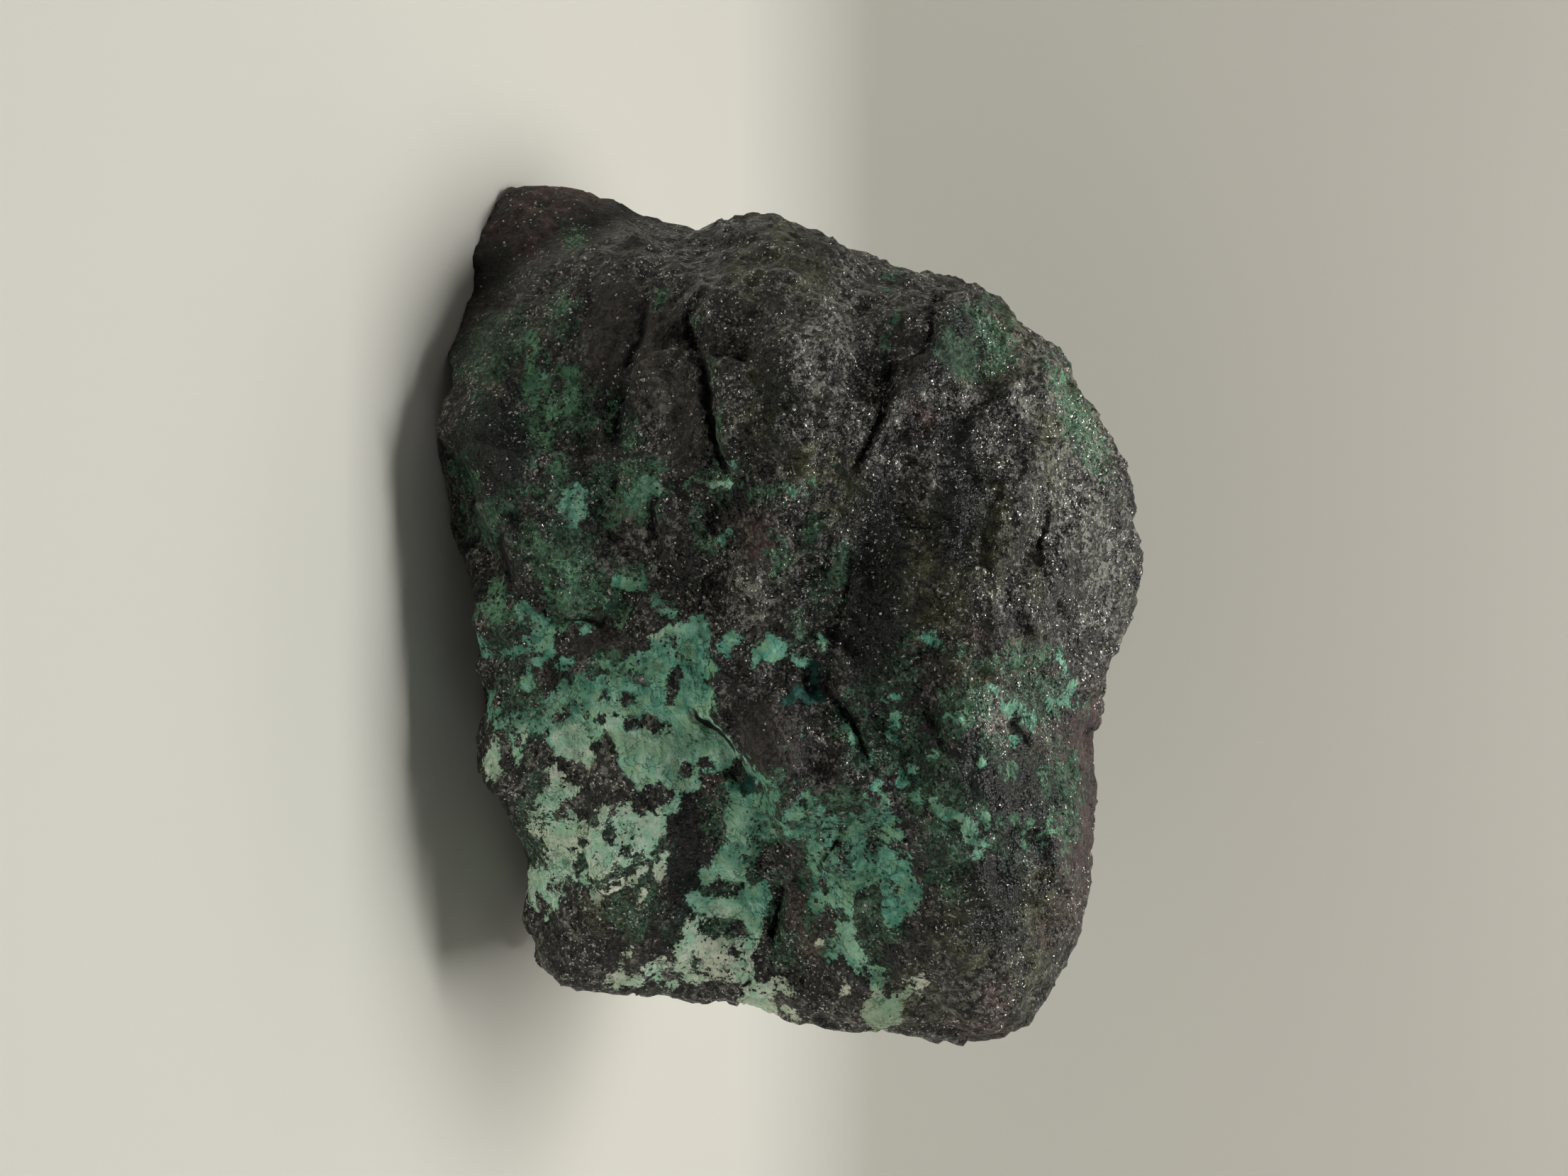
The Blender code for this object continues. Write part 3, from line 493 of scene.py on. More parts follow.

# Crust so thin that the ore darkens it, and crust darkened as painted shade where it lies in shadow
THIN_AND_SHADED_CRUST = (
    (-14, -21, 4, 4, 0), (-32, -34.6, 3, 2, 0), (62, 15, 5, 5, 0), (41.6, 11.6, 3, 2, 0),
    (34.4, -3.6, 3, 2.4, 0), (15.4, 40.6, 4, 4, 0), (18, 33.6, 4, 4, 0), (36.2, 28.2, 4, 2, 0),
    (-35, 26, 6, 6, 0), (-40, 31, 4, 3, 0), (-11, -43, 7, 4, 0), (-2, 7.6, 4, 3, 0),
    (33, 12, 3.4, 2.4, 0), (40, 8.4, 4, 2.4, 10), (46.4, 18.8, 3, 1.0, -10), (31.6, 14.8, 3, 1.4, 0),
    (28.4, 41, 3, 3, 0), (34.6, 5, 3, 3, 0), (-7, -32, 3, 4, 0), (2.4, -29.6, 2, 2, 0),
    (12.4, -23.6, 1.4, 2.4, 0), (17, -30, 1.4, 1.4, 0), (38.6, -6.8, 1.6, 1.2, 0), (1.4, -19, 3, 2, 40),
    (-11.2, -31, 2.4, 1.4, 0), (5, -29.6, 1.4, 4, 0), (18.4, -38, 2.4, 5, 0), (9, -42, 2.4, 3, 0),
    (33, 23.6, 1.6, 1.6, 0), (33, -2.6, 5, 2.2, 0), (30, 3.4, 2, 4, 0), (6.4, -37.4, 4, 2.4, 0),
    (22, -13.6, 1.6, 3.6, 0), (7.4, -17.4, 1.4, 2.4, -20), (11, -20.4, 1.4, 2, 0),
    (13.6, -30.6, 2, 2.4, 0), (46.8, 4.6, 1.6, 2, -35), (52.6, 7, 3, 1.4, -30), (31, -8, 3, 1.2, 0),
)

# Ground of fine, dull grain with hardly a glint
DULL_GROUND = (
    (-36, -19, 8, 3, -5), (-24, -14.6, 8, 3, 5), (-40, -24.5, 6, 4.5, 0), (-33, -26, 6, 3, 0),
    (23, -2, 7, 5, 0), (8, -28, 3, 4, 0), (45, 3, 8, 2.4, 5), (35, 43, 9, 3, 0), (22, 43, 5, 3, 0),
)

# Islands where the dark ore shows through the crusts
BARE_ORE = (
    # in the broad crust
    (9.6, -15.2, 1.6, 0.4, 40), (14.4, -16.0, 1.9, 0.7, -6), (20.2, -18.8, 0.9, 1.9, 4),
    (19.9, -22.4, 0.8, 0.5, 0), (18.2, -36, 0.6, 0.5, 0), (17.6, -39.6, 0.4, 0.9, 0),
    (16.1, -22.6, 0.8, 1.5, 22), (12.6, -21.3, 1.0, 0.35, 30), (25.9, -14.3, 1.1, 0.9, 0),
    (15.9, -26.4, 0.3, 0.3, 0), (19.1, -26.6, 0.25, 0.8, 20), (18.7, -28.4, 0.4, 0.3, 0),
    (17.3, -31.5, 0.7, 0.5, 20), (19.2, -32.7, 0.9, 0.4, -20), (22.4, -38.6, 0.5, 0.3, 0),
    (18, -40.6, 0.5, 0.8, 0),
    # in the crust at the foot
    (4.4, -37.4, 0.3, 0.3, 0), (9.8, -36.4, 0.3, 0.8, 0), (5.6, -38, 0.5, 0.3, 0),
    # right of the smooth block
    (37.2, 13.4, 2.0, 1.1, 0), (47.6, 12.4, 2.8, 1.5, -10), (43.4, 15.6, 0.9, 0.4, 20),
    (36.4, 26.3, 0.7, 0.4, 20), (33.4, 24, 0.5, 0.5, 0), (31.3, 13.2, 0.9, 0.8, 0),
    (36.2, 4.8, 0.9, 0.4, 0), (47.6, 8.6, 1.0, 0.6, 20), (33, 3.8, 0.5, 0.4, 0), (31.4, 3.6, 0.3, 0.9, 0),
    (34.6, 1.6, 0.5, 0.7, 0), (41, -4.5, 1.4, 0.9, 0), (39.6, 8.4, 1.1, 0.45, 20),
    (25.4, -11.4, 0.8, 1.2, 0), (37.6, 17, 1.2, 0.4, 10), (35, 7.6, 1.4, 0.35, 15),
    (42.6, 6, 1.2, 0.4, 0), (36.4, 2.6, 0.5, 0.8, 0), (35, 28.4, 1.2, 0.5, 0), (19.6, 35.8, 0.8, 0.5, 30),
    (15.8, 42.2, 0.7, 0.5, 0),
    # in the pale field
    (49.4, -8.4, 1.0, 2.2, 0), (56, -8.4, 0.5, 0.35, 0), (53.4, -6.8, 0.4, 0.9, -30),
    (48, -12.8, 0.9, 0.5, 0), (54.4, -12.6, 1.2, 0.5, 20), (56.2, -11.4, 0.4, 1.0, 0),
    # in the pale lace of the lower right
    (36.2, -25, 1.6, 0.9, 10), (34.2, -27.8, 0.8, 0.6, 0), (37.2, -29.8, 0.5, 0.9, 0),
    (40.6, -29.6, 1.6, 0.5, 0), (40, -35.2, 0.9, 0.7, 0), (33.4, -35.2, 1.0, 0.5, 0),
    (33, -32.4, 1.0, 1.2, 0), (46.6, -35.2, 1.4, 1.0, 20), (43.2, -33.8, 0.4, 0.8, 0),
    (38.4, -22.8, 0.9, 0.4, 0),
    # in the green left of the broad crust
    (-3.5, -38.3, 3.8, 1.2, 0), (-4, -29.2, 2.2, 0.6, -10), (-1.6, -33.6, 2.0, 0.7, 20),
    (1.8, -27.8, 1.0, 0.5, 0), (-6.6, -33.8, 1.0, 0.5, 30), (-13.6, -23.6, 1.4, 0.4, -30),
    (-28.4, -32.8, 1.6, 0.5, 10), (-24.6, -35.6, 1.4, 0.5, 0),
)

# The deep blue-green of the pocket and of the folds beside it, darkened as painted shade in those recesses
DEEP_SHADED_CRUST = (
    (13.2, 4.6, 2.2, 0.9, 0), (15.8, 3.0, 1.1, 2.2, -10), (16.4, 0.9, 0.8, 1.2, 0),
    (29, -5.4, 2.2, 1.0, 10),
)

PATCH_RAMP = 1.6  # mm, over which a patch fades in on each side of its rim
THICKEST = 1.6  # how far the field of a patch rises well inside it, where its rim is a half

# How far places wander over 6 mm and over 1.7 mm, in mm, so that no line or rim of the lists runs smooth
RELIEF_WANDER = (0.7, 0.25)
PATCH_WANDER = (0.4, 0.2)

# The fields painted on the rock's points for its material
FIELDS = (
    "teal", "pale", "green", "deep", "stain", "olive", "brown", "dull", "ridge", "crack", "light", "thin",
    "rich",
)

HALVES = (0.5, 0.5, 0.5)
BLACK = (0.003, 0.003, 0.003, 1)
LAMP_COLOUR = (1.0, 0.99, 0.97)
SWEEP_BEND = 0.075  # m behind the rock's middle, where the floor starts to turn up
SWEEP_RADIUS = 0.022
SWEEP_TURN = math.radians(81)  # how far it turns up
SWEEP_REACH = 1.2  # m to each side and to the front
WALL_HEIGHT = 0.9  # m, up the leaning wall

# The soft lights: name, place and size in metres, and power in watts
LIGHTS = (
    ("overhead", (0.0, 0.01, 0.52), (0.34, 0.2), 1.88),
    ("left side", (-0.42, -0.08, 0.2), (0.3, 0.25), 0.10),
    ("right side", (0.40, -0.25, 0.22), (0.3, 0.25), 0.20),
    ("low front", (0.22, -0.62, 0.12), (0.3, 0.2), 0.14),
)


def scrambled(cells):
    """A well mixed whole number for each lattice cell."""
    key = cells @ np.array((73856093, 19349663, 83492791))
    key = (key ^ key >> 13) * 1274126177 & 0xFFFFFFFF
    return (key ^ key >> 16) * 73244475 >> 5 & 0xFFFFFFFF


def lattice_slopes():
    """256 ways spread evenly over a ball by the golden angle; each lattice corner takes one of them."""
    step = np.arange(256)
    up = 1 - (2 * step + 1) / 256
    turn = step * math.pi * (3 - math.sqrt(5))
    flat = np.sqrt(1 - up**2)
    return np.stack([flat * np.cos(turn), flat * np.sin(turn), up], axis=1)


SLOPES = lattice_slopes()


def lattice_noise(points, size, seed):
    """Smooth noise from about -1 to 1 with swells of the given size: each lattice corner slopes its way."""
    scaled = points / size + 31.7 * seed
    cell = np.floor(scaled).astype(np.int64)
    inside = scaled - cell
    fade = inside**3 * (inside * (inside * 6 - 15) + 10)
    total = np.zeros(len(points))
    for corner in itertools.product((0, 1), repeat=3):
        slope = SLOPES[scrambled(cell + corner) & 255]
        weight = np.where(corner, fade, 1 - fade).prod(axis=1)
        total += weight * ((inside - corner) * slope).sum(axis=1)
    return 1.6 * total


def block_noise(points, size, seed):
    """Noise of broken blocks of the given size: each has its level and tilt, with short steps between."""
    scaled = points / size + 17.3 * seed
    cell = np.floor(scaled).astype(np.int64)
    total = np.zeros(len(points))
    weights = np.zeros(len(points))
    for corner in itertools.product((-1, 0, 1), repeat=3):
        key = scrambled(cell + corner)
        away = scaled - (cell + corner + 0.5 + 0.45 * SLOPES[key & 255])
        level = (key >> 8 & 255) / 128 - 1
        weight = np.exp(-BLOCK_SHARPNESS * np.linalg.norm(away, axis=1))
        total += weight * (0.35 * level + (away * SLOPES[key >> 16 & 255]).sum(axis=1))
        weights += weight
    return total / weights


def pit_noise(points, size, seed):
    """1 in the middle of round pits, 0 outside: about a third of the cells of the given size hold one."""
    scaled = points / size + 23.9 * seed
    cell = np.floor(scaled).astype(np.int64)
    pits = np.zeros(len(points))
    for corner in itertools.product((-1, 0, 1), repeat=3):
        key = scrambled(cell + corner)
        away = scaled - (cell + corner + 0.5 + 0.45 * SLOPES[key & 255])
        radius = 0.12 + 0.16 * (key >> 8 & 255) / 255
        held = (key >> 16 & 255) < 90
        pits = np.maximum(pits, held * np.exp(-(away**2).sum(axis=1) / radius**2))
    return pits


def smooth_step(low, high, value):
    """0 at low and 1 at high, with a slope of nothing at both ends."""
    share = np.clip((value - low) / (high - low), 0, 1)
    return share * share * (3 - 2 * share)


def sight_frame():
    """The eye's axes in the world, as columns: across, up, and towards the eye."""
    low, high = math.sin(EYE_TILT), math.cos(EYE_TILT)
    return np.array(((1, 0, 0), (0, low, high), (0, -high, low))).T


def face_places(points):
    """Where points round the heart lie in the eye's view, and how far they stand towards the eye, in mm."""
    seen = points @ sight_frame()
    scale = EYE_DISTANCE / (EYE_DISTANCE - seen[:, 2])
    return seen[:, :2] * scale[:, None] / MM, seen[:, 2] / MM


def faces_reach(ways):
    """How far the broken faces let each way from the heart go: a power mean, which rounds their edges."""
    total = np.zeros(len(ways))
    for turn, tilt, distance in BROKEN_FACES:
        turn, tilt = math.radians(turn), math.radians(tilt)
        normal = (math.sin(turn) * math.cos(tilt), -math.cos(turn) * math.cos(tilt), math.sin(tilt))
        total += np.clip(ways @ np.array(normal) / (distance * MM), 0, None) ** FACE_ROUNDING
    return total ** (-1 / FACE_ROUNDING)


def broken_reach(ways):
    """How far each way from the heart goes once the broken faces have their swells and blocks."""
    reach = faces_reach(ways)
    points = ways * reach[:, None]
    rough = 1.0 * lattice_noise(points, 30 * MM, 3) + 4.6 * block_noise(points, 21 * MM, 5)
    rough += 1.8 * block_noise(points, 8 * MM, 8)
    return reach + rough * MM


def outline_radius(turns):
    """Millimetres from the heart to the outline, each way round it in the eye's view."""
    corners = np.array(OUTLINE)
    turned = np.arctan2(corners[:, 1], corners[:, 0])
    order = np.argsort(turned)
    away = np.hypot(corners[:, 0], corners[:, 1])
    return np.interp(turns, turned[order], away[order], period=2 * math.pi)


def rim(turns):
    """The edge of the broken faces in the eye's view, each way round the heart: mm from the heart, and the
    angle between the way to that edge and the way to the eye."""
    round_steps = np.linspace(-math.pi, math.pi, 181)
    away_steps = np.radians(np.linspace(30, 150, 121))
    turned, away = np.meshgrid(round_steps, away_steps, indexing="ij")
    seen = np.stack([np.sin(away) * np.cos(turned), np.sin(away) * np.sin(turned), np.cos(away)], axis=2)
    ways = seen.reshape(-1, 3) @ sight_frame().T
    places, _ = face_places(ways * broken_reach(ways)[:, None])
    radius = np.hypot(places[:, 0], places[:, 1]).reshape(turned.shape)
    widest = np.interp(turns, round_steps, radius.max(axis=1))
    return widest, np.interp(turns, round_steps, away_steps[radius.argmax(axis=1)])


def fitted_to_outline(points):
    """The points moved across the eye's view so that the edge of the broken faces falls on the outline.

    Also 1 for the points that the eye can see, falling to 0 over a few degrees past that edge."""
    places, _ = face_places(points)
    turns = np.arctan2(places[:, 1], places[:, 0])
    edge, edge_away = rim(turns)
    share = np.hypot(places[:, 0], places[:, 1]) / edge
    stretch = 1 + (outline_radius(turns) / edge - 1) * smooth_step(0.1, 1, share)
    seen = points @ sight_frame()
    away = np.arctan2(np.hypot(seen[:, 0], seen[:, 1]), seen[:, 2])
    in_view = smooth_step(math.radians(9), math.radians(1), away - edge_away)
    seen[:, :2] *= stretch[:, None]
    return seen @ sight_frame().T, in_view


def line_offset(places, line):
    """How far each place is from a broken line, positive on its left, and how far along the line it is."""
    line = np.array(line, float)
    start, run = line[:-1], np.diff(line, axis=0)
    away = places[:, None] - start
    share = np.clip((away * run).sum(2) / (run**2).sum(1), 0, 1)
    off = away - share[:, :, None] * run
    distance = np.hypot(off[:, :, 0], off[:, :, 1])
    nearest = distance.argmin(axis=1)
    row = np.arange(len(places))
    side = np.sign(run[:, 0] * away[:, :, 1] - run[:, 1] * away[:, :, 0])[row, nearest]
    return side * distance[row, nearest], (nearest + share[row, nearest]) / len(run)


def in_ellipse(places, across, up, length, width, turn):
    """Squared distance from an ellipse's middle, 1 at its rim."""
    turn = math.radians(turn)
    x, y = places[:, 0] - across, places[:, 1] - up
    along = x * math.cos(turn) + y * math.sin(turn)
    beside = y * math.cos(turn) - x * math.sin(turn)
    return (along / length) ** 2 + (beside / width) ** 2


def inside_outline(places, outline):
    """Millimetres from each place to a closed outline: positive inside, where a ray crosses it an odd number
    of times, and negative outside."""
    start = np.array(outline, float)
    run = np.roll(start, -1, axis=0) - start
    away = places[:, None] - start
    share = np.clip((away * run).sum(2) / (run**2).sum(1), 0, 1)
    off = away - share[:, :, None] * run
    distance = np.hypot(off[:, :, 0], off[:, :, 1]).min(axis=1)
    straddles = (away[:, :, 1] < 0) != (away[:, :, 1] < run[:, 1])
    level = np.where(run[:, 1] == 0, 1, run[:, 1])
    crossings = (straddles & (away[:, :, 0] < away[:, :, 1] * run[:, 0] / level)).sum(axis=1)
    return np.where(crossings % 2 == 1, distance, -distance)


def patches(places, ellipses, outlines=()):
    """A half on the rims of the patches, 0 well outside them and THICKEST well inside."""
    depth = np.full(len(places), -2.0 * PATCH_RAMP)
    for across, up, length, width, turn in ellipses:
        inside = (1 - np.sqrt(in_ellipse(places, across, up, length, width, turn))) * min(length, width)
        depth = np.maximum(depth, inside)
    for outline in outlines:
        low = np.min(outline, axis=0) - 2 * PATCH_RAMP
        high = np.max(outline, axis=0) + 2 * PATCH_RAMP
        near = ((places > low) & (places < high)).all(axis=1)
        depth[near] = np.maximum(depth[near], inside_outline(places[near], outline))
    return np.clip(0.5 + depth / (2 * PATCH_RAMP), 0, THICKEST)


def crack_field(places):
    """Depth in mm of the thin cracks: a bell across each line, tapering to its ends."""
    depth = np.zeros(len(places))
    for line, deepest in CRACKS:
        offset, along = line_offset(places, line)
        taper = np.clip(6 * along * (1 - along), 0, 1)
        depth = np.maximum(depth, deepest * taper * np.exp(-((offset / CRACK_WIDTH) ** 2)))
    return depth


def face_relief(places, nearness):
    """Millimetres that the crusted face stands towards the eye of its broken faces."""
    relief = sum(height * np.exp(-in_ellipse(places, *rest)) for *rest, height in SWELLS)
    for line, height, reach in LEDGES:
        offset, along = line_offset(places, line)
        proud = smooth_step(STEP_WIDTH / 2, -STEP_WIDTH / 2, offset) * np.exp(-np.abs(offset) / reach)
        relief += height * proud * np.clip(4 * along * (1 - along), 0, 1) ** 0.5
    for *ellipse, depth in HOLES:
        relief -= depth * np.exp(-in_ellipse(places, *ellipse) ** 2)
    offset, _ = line_offset(places, RIDGE)
    relief -= RIDGE_DROP * smooth_step(0, RIDGE_WIDTH, -offset)
    relief -= crack_field(places)
    return relief * smooth_step(-18, 26, nearness)


def ball_grid():
    """Unit ways from the heart, crowded towards the eye, and the four-sided cells between them.

    They are a function of two parameters, which run from -1 to 1 along each side of a cube. The tangents of
    the parameters even out the cells, and the points that two sides share are merged."""
    steps = np.arange(-SIDE_CELLS, SIDE_CELLS + 1, 2)
    first, second = np.meshgrid(steps, steps, indexing="ij")
    sides = []
    for axis, sign in itertools.product(range(3), (-1, 1)):
        grid = np.full(first.shape + (3,), sign * SIDE_CELLS)
        grid[..., (axis + 1) % 3] = first if sign > 0 else second
        grid[..., (axis + 2) % 3] = second if sign > 0 else first
        sides.append(grid)
    corners, index = np.unique(np.array(sides).reshape(-1, 3), axis=0, return_inverse=True)
    index = index.reshape(6, len(steps), len(steps))
    cells = np.stack([index[:, :-1, :-1], index[:, 1:, :-1], index[:, 1:, 1:], index[:, :-1, 1:]], axis=3)
    cube = np.tan(corners / SIDE_CELLS * math.pi / 4)
    ways = cube / np.linalg.norm(cube, axis=1)[:, None] + FRONT_CROWDING * sight_frame()[:, 2]
    return ways / np.linalg.norm(ways, axis=1)[:, None], cells.reshape(-1, 4)


def outward(points, cells):
    """The surface's unit normal at each point: the sum of its cells' diagonal cross products."""
    across = np.cross(points[cells[:, 2]] - points[cells[:, 0]], points[cells[:, 3]] - points[cells[:, 1]])
    total = np.zeros_like(points)
    for corner in range(4):
        np.add.at(total, cells[:, corner], across)
    return total / np.linalg.norm(total, axis=1)[:, None]


def hidden_patches(points, size, seed, least):
    """Patches for the sides that the eye doesn't see: where smooth noise passes a level."""
    ragged = lattice_noise(points, size, seed) + 0.5 * lattice_noise(points, size / 2.7, seed + 1)
    return smooth_step(least - 0.25, least + 0.25, ragged)


def settled(points):
    """The points over the floor: the underside rises towards its front right, and what comes nearer the
    floor than FLOOR_GRIP lies on it, with the ground above eased down to meet it."""
    right = (points[:, 0] / MM + 14) / 44
    front = points[:, 1] / MM / 26
    beyond = smooth_step(0.75, 1.15, np.hypot(np.clip(right, 0, None), front))
    beyond *= smooth_step(-12, 0, points[:, 0] / MM)
    height = points[:, 2] + UNDERCUT * beyond * smooth_step(10 * MM, 0, points[:, 2])
    points[:, 2] = np.clip(height, 0, None) * smooth_step(FLOOR_GRIP, 5 * FLOOR_GRIP, height) ** 0.35
    return points


def rock_surface():
    """The rock's points, cells and painted fields.

    The broken faces are fitted to the outline and moved along the line of sight by the relief of the crusted
    face. Then every point moves along its normal by the blocks, the grain and the pits, which the crusts and
    the dull ground soften."""
    ways, cells = ball_grid()
    points, in_view = fitted_to_outline(ways * broken_reach(ways)[:, None])
    places, nearness = face_places(points)
    drift = np.stack([lattice_noise(points, 6 * MM, seed) for seed in (11, 17)], axis=1)
    fray = np.stack([lattice_noise(points, 1.7 * MM, seed) for seed in (12, 18)], axis=1)
    to_eye = sight_frame()[:, 2] * EYE_DISTANCE - points
    to_eye /= np.linalg.norm(to_eye, axis=1)[:, None]
    wandered = places + RELIEF_WANDER[0] * drift + RELIEF_WANDER[1] * fray
    points += to_eye * (face_relief(wandered, nearness) * MM)[:, None]
    places = face_places(points)[0] + PATCH_WANDER[0] * drift + PATCH_WANDER[1] * fray

    def painted(seen, size, seed, least):
        """The field as the eye sees it, and chance patches where the eye doesn't see."""
        return seen * in_view + (1 - in_view) * hidden_patches(points, size, seed, least)

    def stained(ellipses, size, seed, least):
        """The same from ellipses, up to 1."""
        return painted(np.minimum(patches(places, ellipses), 1), size, seed, least)

    crusted = 1 - patches(places, BARE_ORE)
    teal = np.minimum(patches(places, TEAL_SPOTS, TEAL_CRUST), crusted)
    pale = np.minimum(patches(places, PALE_SPOTS, PALE_CRUST), crusted)
    green = np.clip(patches(places, GREEN_SPOTS, GREEN_CRUST), 0, np.clip(crusted, 0, 1))
    fields = {
        "teal": painted(teal, 15 * MM, 41, 0.75),
        "pale": painted(pale, 11 * MM, 44, 1.05),
        "green": painted(green, 9 * MM, 47, 0.9),
        # the pocket's dark crust, partly painted shade
        "deep": stained(DEEP_SHADED_CRUST, 9 * MM, 47, 2.0),
        "stain": stained(GREEN_STAIN, 17 * MM, 51, 0.35),
        "olive": stained(OLIVE_STAIN, 21 * MM, 54, 0.4),
        "brown": stained(BROWN_STAIN, 24 * MM, 57, 0.35),
        "dull": stained(DULL_GROUND, 26 * MM, 59, 0.3),
    }
    # a half where the ore is of its middling shade; above that lighter ore and painted sheen, below it
    # darker ore and painted shade
    lighter = stained(LIGHT_ORE_AND_SHEEN, 24 * MM, 71, 0.3)
    fields["light"] = 0.5 + 0.5 * lighter - 0.5 * stained(DARK_ORE_AND_SHADE, 19 * MM, 74, 0.4)
    # thin: thin crust, and crust given painted shade; rich: the thickest crust, and crust given painted
    # light
    fields["thin"] = stained(THIN_AND_SHADED_CRUST, 9 * MM, 77, 0.3)
    fields["rich"] = stained(RICH_AND_LIT_CRUST, 9 * MM, 79, 0.5)
    offset, _ = line_offset(places, RIDGE)
    beyond = smooth_step(1.0, 5.5, -offset) * in_view
    fields["brown"] = np.maximum(fields["brown"], 0.85 * beyond)
    fields["dull"] = np.maximum(fields["dull"], beyond)
    fields["ridge"] = np.exp(-(((offset + 1.5) / 3.2) ** 2)) * in_view
    # the depth of the thin cracks, which the material paints black as shade
    fields["crack"] = np.clip(crack_field(places) * in_view, 0, 1)
    crust = np.clip(fields["teal"] + fields["pale"] + fields["green"] + fields["deep"], 0, 1)

    normals = outward(points, cells)
    coarse = 1 - 0.4 * smooth_step(0.4, 0.8, crust) - 0.3 * fields["dull"]
    relief = 0.5 * block_noise(points, 3.4 * MM, 61) * (1 - 0.3 * fields["dull"])
    relief += 0.32 * lattice_noise(points, 1.7 * MM, 63) * coarse
    relief += 0.32 * lattice_noise(points, 0.9 * MM, 65) * coarse
    relief -= 0.7 * pit_noise(points, 4.2 * MM, 67) * coarse
    relief -= 0.5 * pit_noise(points, 2.1 * MM, 69) * coarse
    relief *= 1 - 0.7 * smooth_step(0.2, 0.7, -normals[:, 2])
    points += normals * (relief * MM)[:, None]
    points += (HEART_ACROSS, HEART_BACK, HEART_HEIGHT)
    return settled(points), cells, fields


def new_mesh(name, points, cells):
    """A smooth shaded piece from its points and cells, standing at the origin."""
    mesh = bpy.data.meshes.new(name)
    mesh.vertices.add(len(points))
    mesh.vertices.foreach_set("co", points.ravel())
    mesh.loops.add(cells.size)
    mesh.loops.foreach_set("vertex_index", cells.ravel())
    mesh.polygons.add(len(cells))
    mesh.polygons.foreach_set("loop_start", np.arange(0, cells.size, cells.shape[1]))
    mesh.update(calc_edges=True)
    mesh.validate()
    mesh.shade_smooth()
    thing = bpy.data.objects.new(name, mesh)
    bpy.context.scene.collection.objects.link(thing)
    return thing


def paint(thing, name, field):
    """The field kept on the piece's points, for its material to read."""
    kept = thing.data.attributes.new(name, "FLOAT", "POINT")
    kept.data.foreach_set("value", field.astype(np.float32))


def add(tree, kind, inputs=(), **settings):
    """A new node with its settings, each of its inputs joined to a socket or given a value."""
    made = tree.nodes.new("ShaderNode" + kind)
    for name, value in settings.items():
        setattr(made, name, value)
    for name, value in dict(inputs).items():
        if isinstance(value, bpy.types.NodeSocket):
            tree.links.new(value, made.inputs[name])
        else:
            made.inputs[name].default_value = value
    return made


def calc(tree, operation, *values):
    """One step of arithmetic on numbers."""
    return add(tree, "Math", enumerate(values), operation=operation).outputs[0]


def product(tree, *values):
    """The values times each other, from left to right."""
    total = values[0]
    for value in values[1:]:
        total = calc(tree, "MULTIPLY", total, value)
    return total


def graded(tree, value, slope, start):
    """start + slope * value."""
    return calc(tree, "MULTIPLY_ADD", value, slope, start)


def ramp(tree, value, low, high):
    """0 below low and 1 above high, smooth between."""
    inputs = {"Value": value, "From Min": low, "From Max": high}
    return add(tree, "MapRange", inputs, interpolation_type="SMOOTHSTEP").outputs["Result"]


def blend(tree, share, first, second):
    """first where share is 0, second where it is 1."""
    return add(tree, "Mix", {0: share, 6: first, 7: second}, data_type="RGBA").outputs[2]


def lean_blend(tree, share, first, second):
    """The same for normals."""
    return add(tree, "Mix", {0: share, 4: first, 5: second}, data_type="VECTOR").outputs[1]


def noise(tree, place, size, detail=2.0):
    """Noise from 0 to 1 with swells of that many millimetres."""
    return add(tree, "TexNoise", {"Vector": place, "Scale": 1 / size, "Detail": detail}).outputs["Fac"]


def vector(tree, operation, inputs):
    """One step of arithmetic on vectors."""
    return add(tree, "VectorMath", inputs, operation=operation).outputs[0]


def wobbled(tree, place, scale, detail, reach):
    """The place moved by noise, by up to half the reach each way."""
    wobble = add(tree, "TexNoise", {"Vector": place, "Scale": scale, "Detail": detail})
    centred = vector(tree, "SUBTRACT", {0: wobble.outputs["Color"], 1: HALVES})
    return vector(tree, "MULTIPLY_ADD", {0: centred, 1: (reach, reach, reach), 2: place})


def new_group(name, inputs, outputs):
    """A shader node group with named sockets: (its tree, its input sockets, its output node)."""
    tree = bpy.data.node_groups.new(name, "ShaderNodeTree")
    for socket, kind, value in inputs:
        made = tree.interface.new_socket(socket, in_out="INPUT", socket_type="NodeSocket" + kind)
        if value is not None:
            made.default_value = value
    for socket, kind in outputs:
        tree.interface.new_socket(socket, in_out="OUTPUT", socket_type="NodeSocket" + kind)
    start = tree.nodes.new("NodeGroupInput")
    end = tree.nodes.new("NodeGroupOutput")
    return tree, start.outputs, end


def ragged_patch_group():
    """A painted field turned into a patch with a frayed edge, and holes that crowd towards that edge."""
    tree, given, end = new_group(
        "Ragged Patch",
        (
            ("Place", "Vector", None),
            ("Field", "Float", 0.0),
            ("Fray", "Float", 1.6),
            ("Freckles", "Float", 0.5),
        ),
        (("Mask", "Float"), ("Depth", "Float")),
    )
    place = given["Place"]
    inputs = {"Vector": place, "Scale": 0.42, "Detail": 6.0, "Roughness": 0.74}
    waves = calc(tree, "SUBTRACT", add(tree, "TexNoise", inputs).outputs["Fac"], 0.5)
    frayed = graded(tree, waves, given["Fray"], given["Field"])
    body = ramp(tree, frayed, 0.48, 0.52)
    inputs = {"Vector": place, "Scale": 1.5, "Detail": 3.0, "Roughness": 0.6}
    freckle = add(tree, "TexNoise", inputs).outputs["Fac"]
    level = graded(tree, given["Freckles"], -0.1, graded(tree, frayed, 0.22, 0.53))
    holes = ramp(tree, calc(tree, "SUBTRACT", freckle, level), 0.0, 0.03)
    mask = product(tree, body, calc(tree, "SUBTRACT", 1.0, holes))
    tree.links.new(mask, end.inputs["Mask"])
    tree.links.new(frayed, end.inputs["Depth"])
    return tree


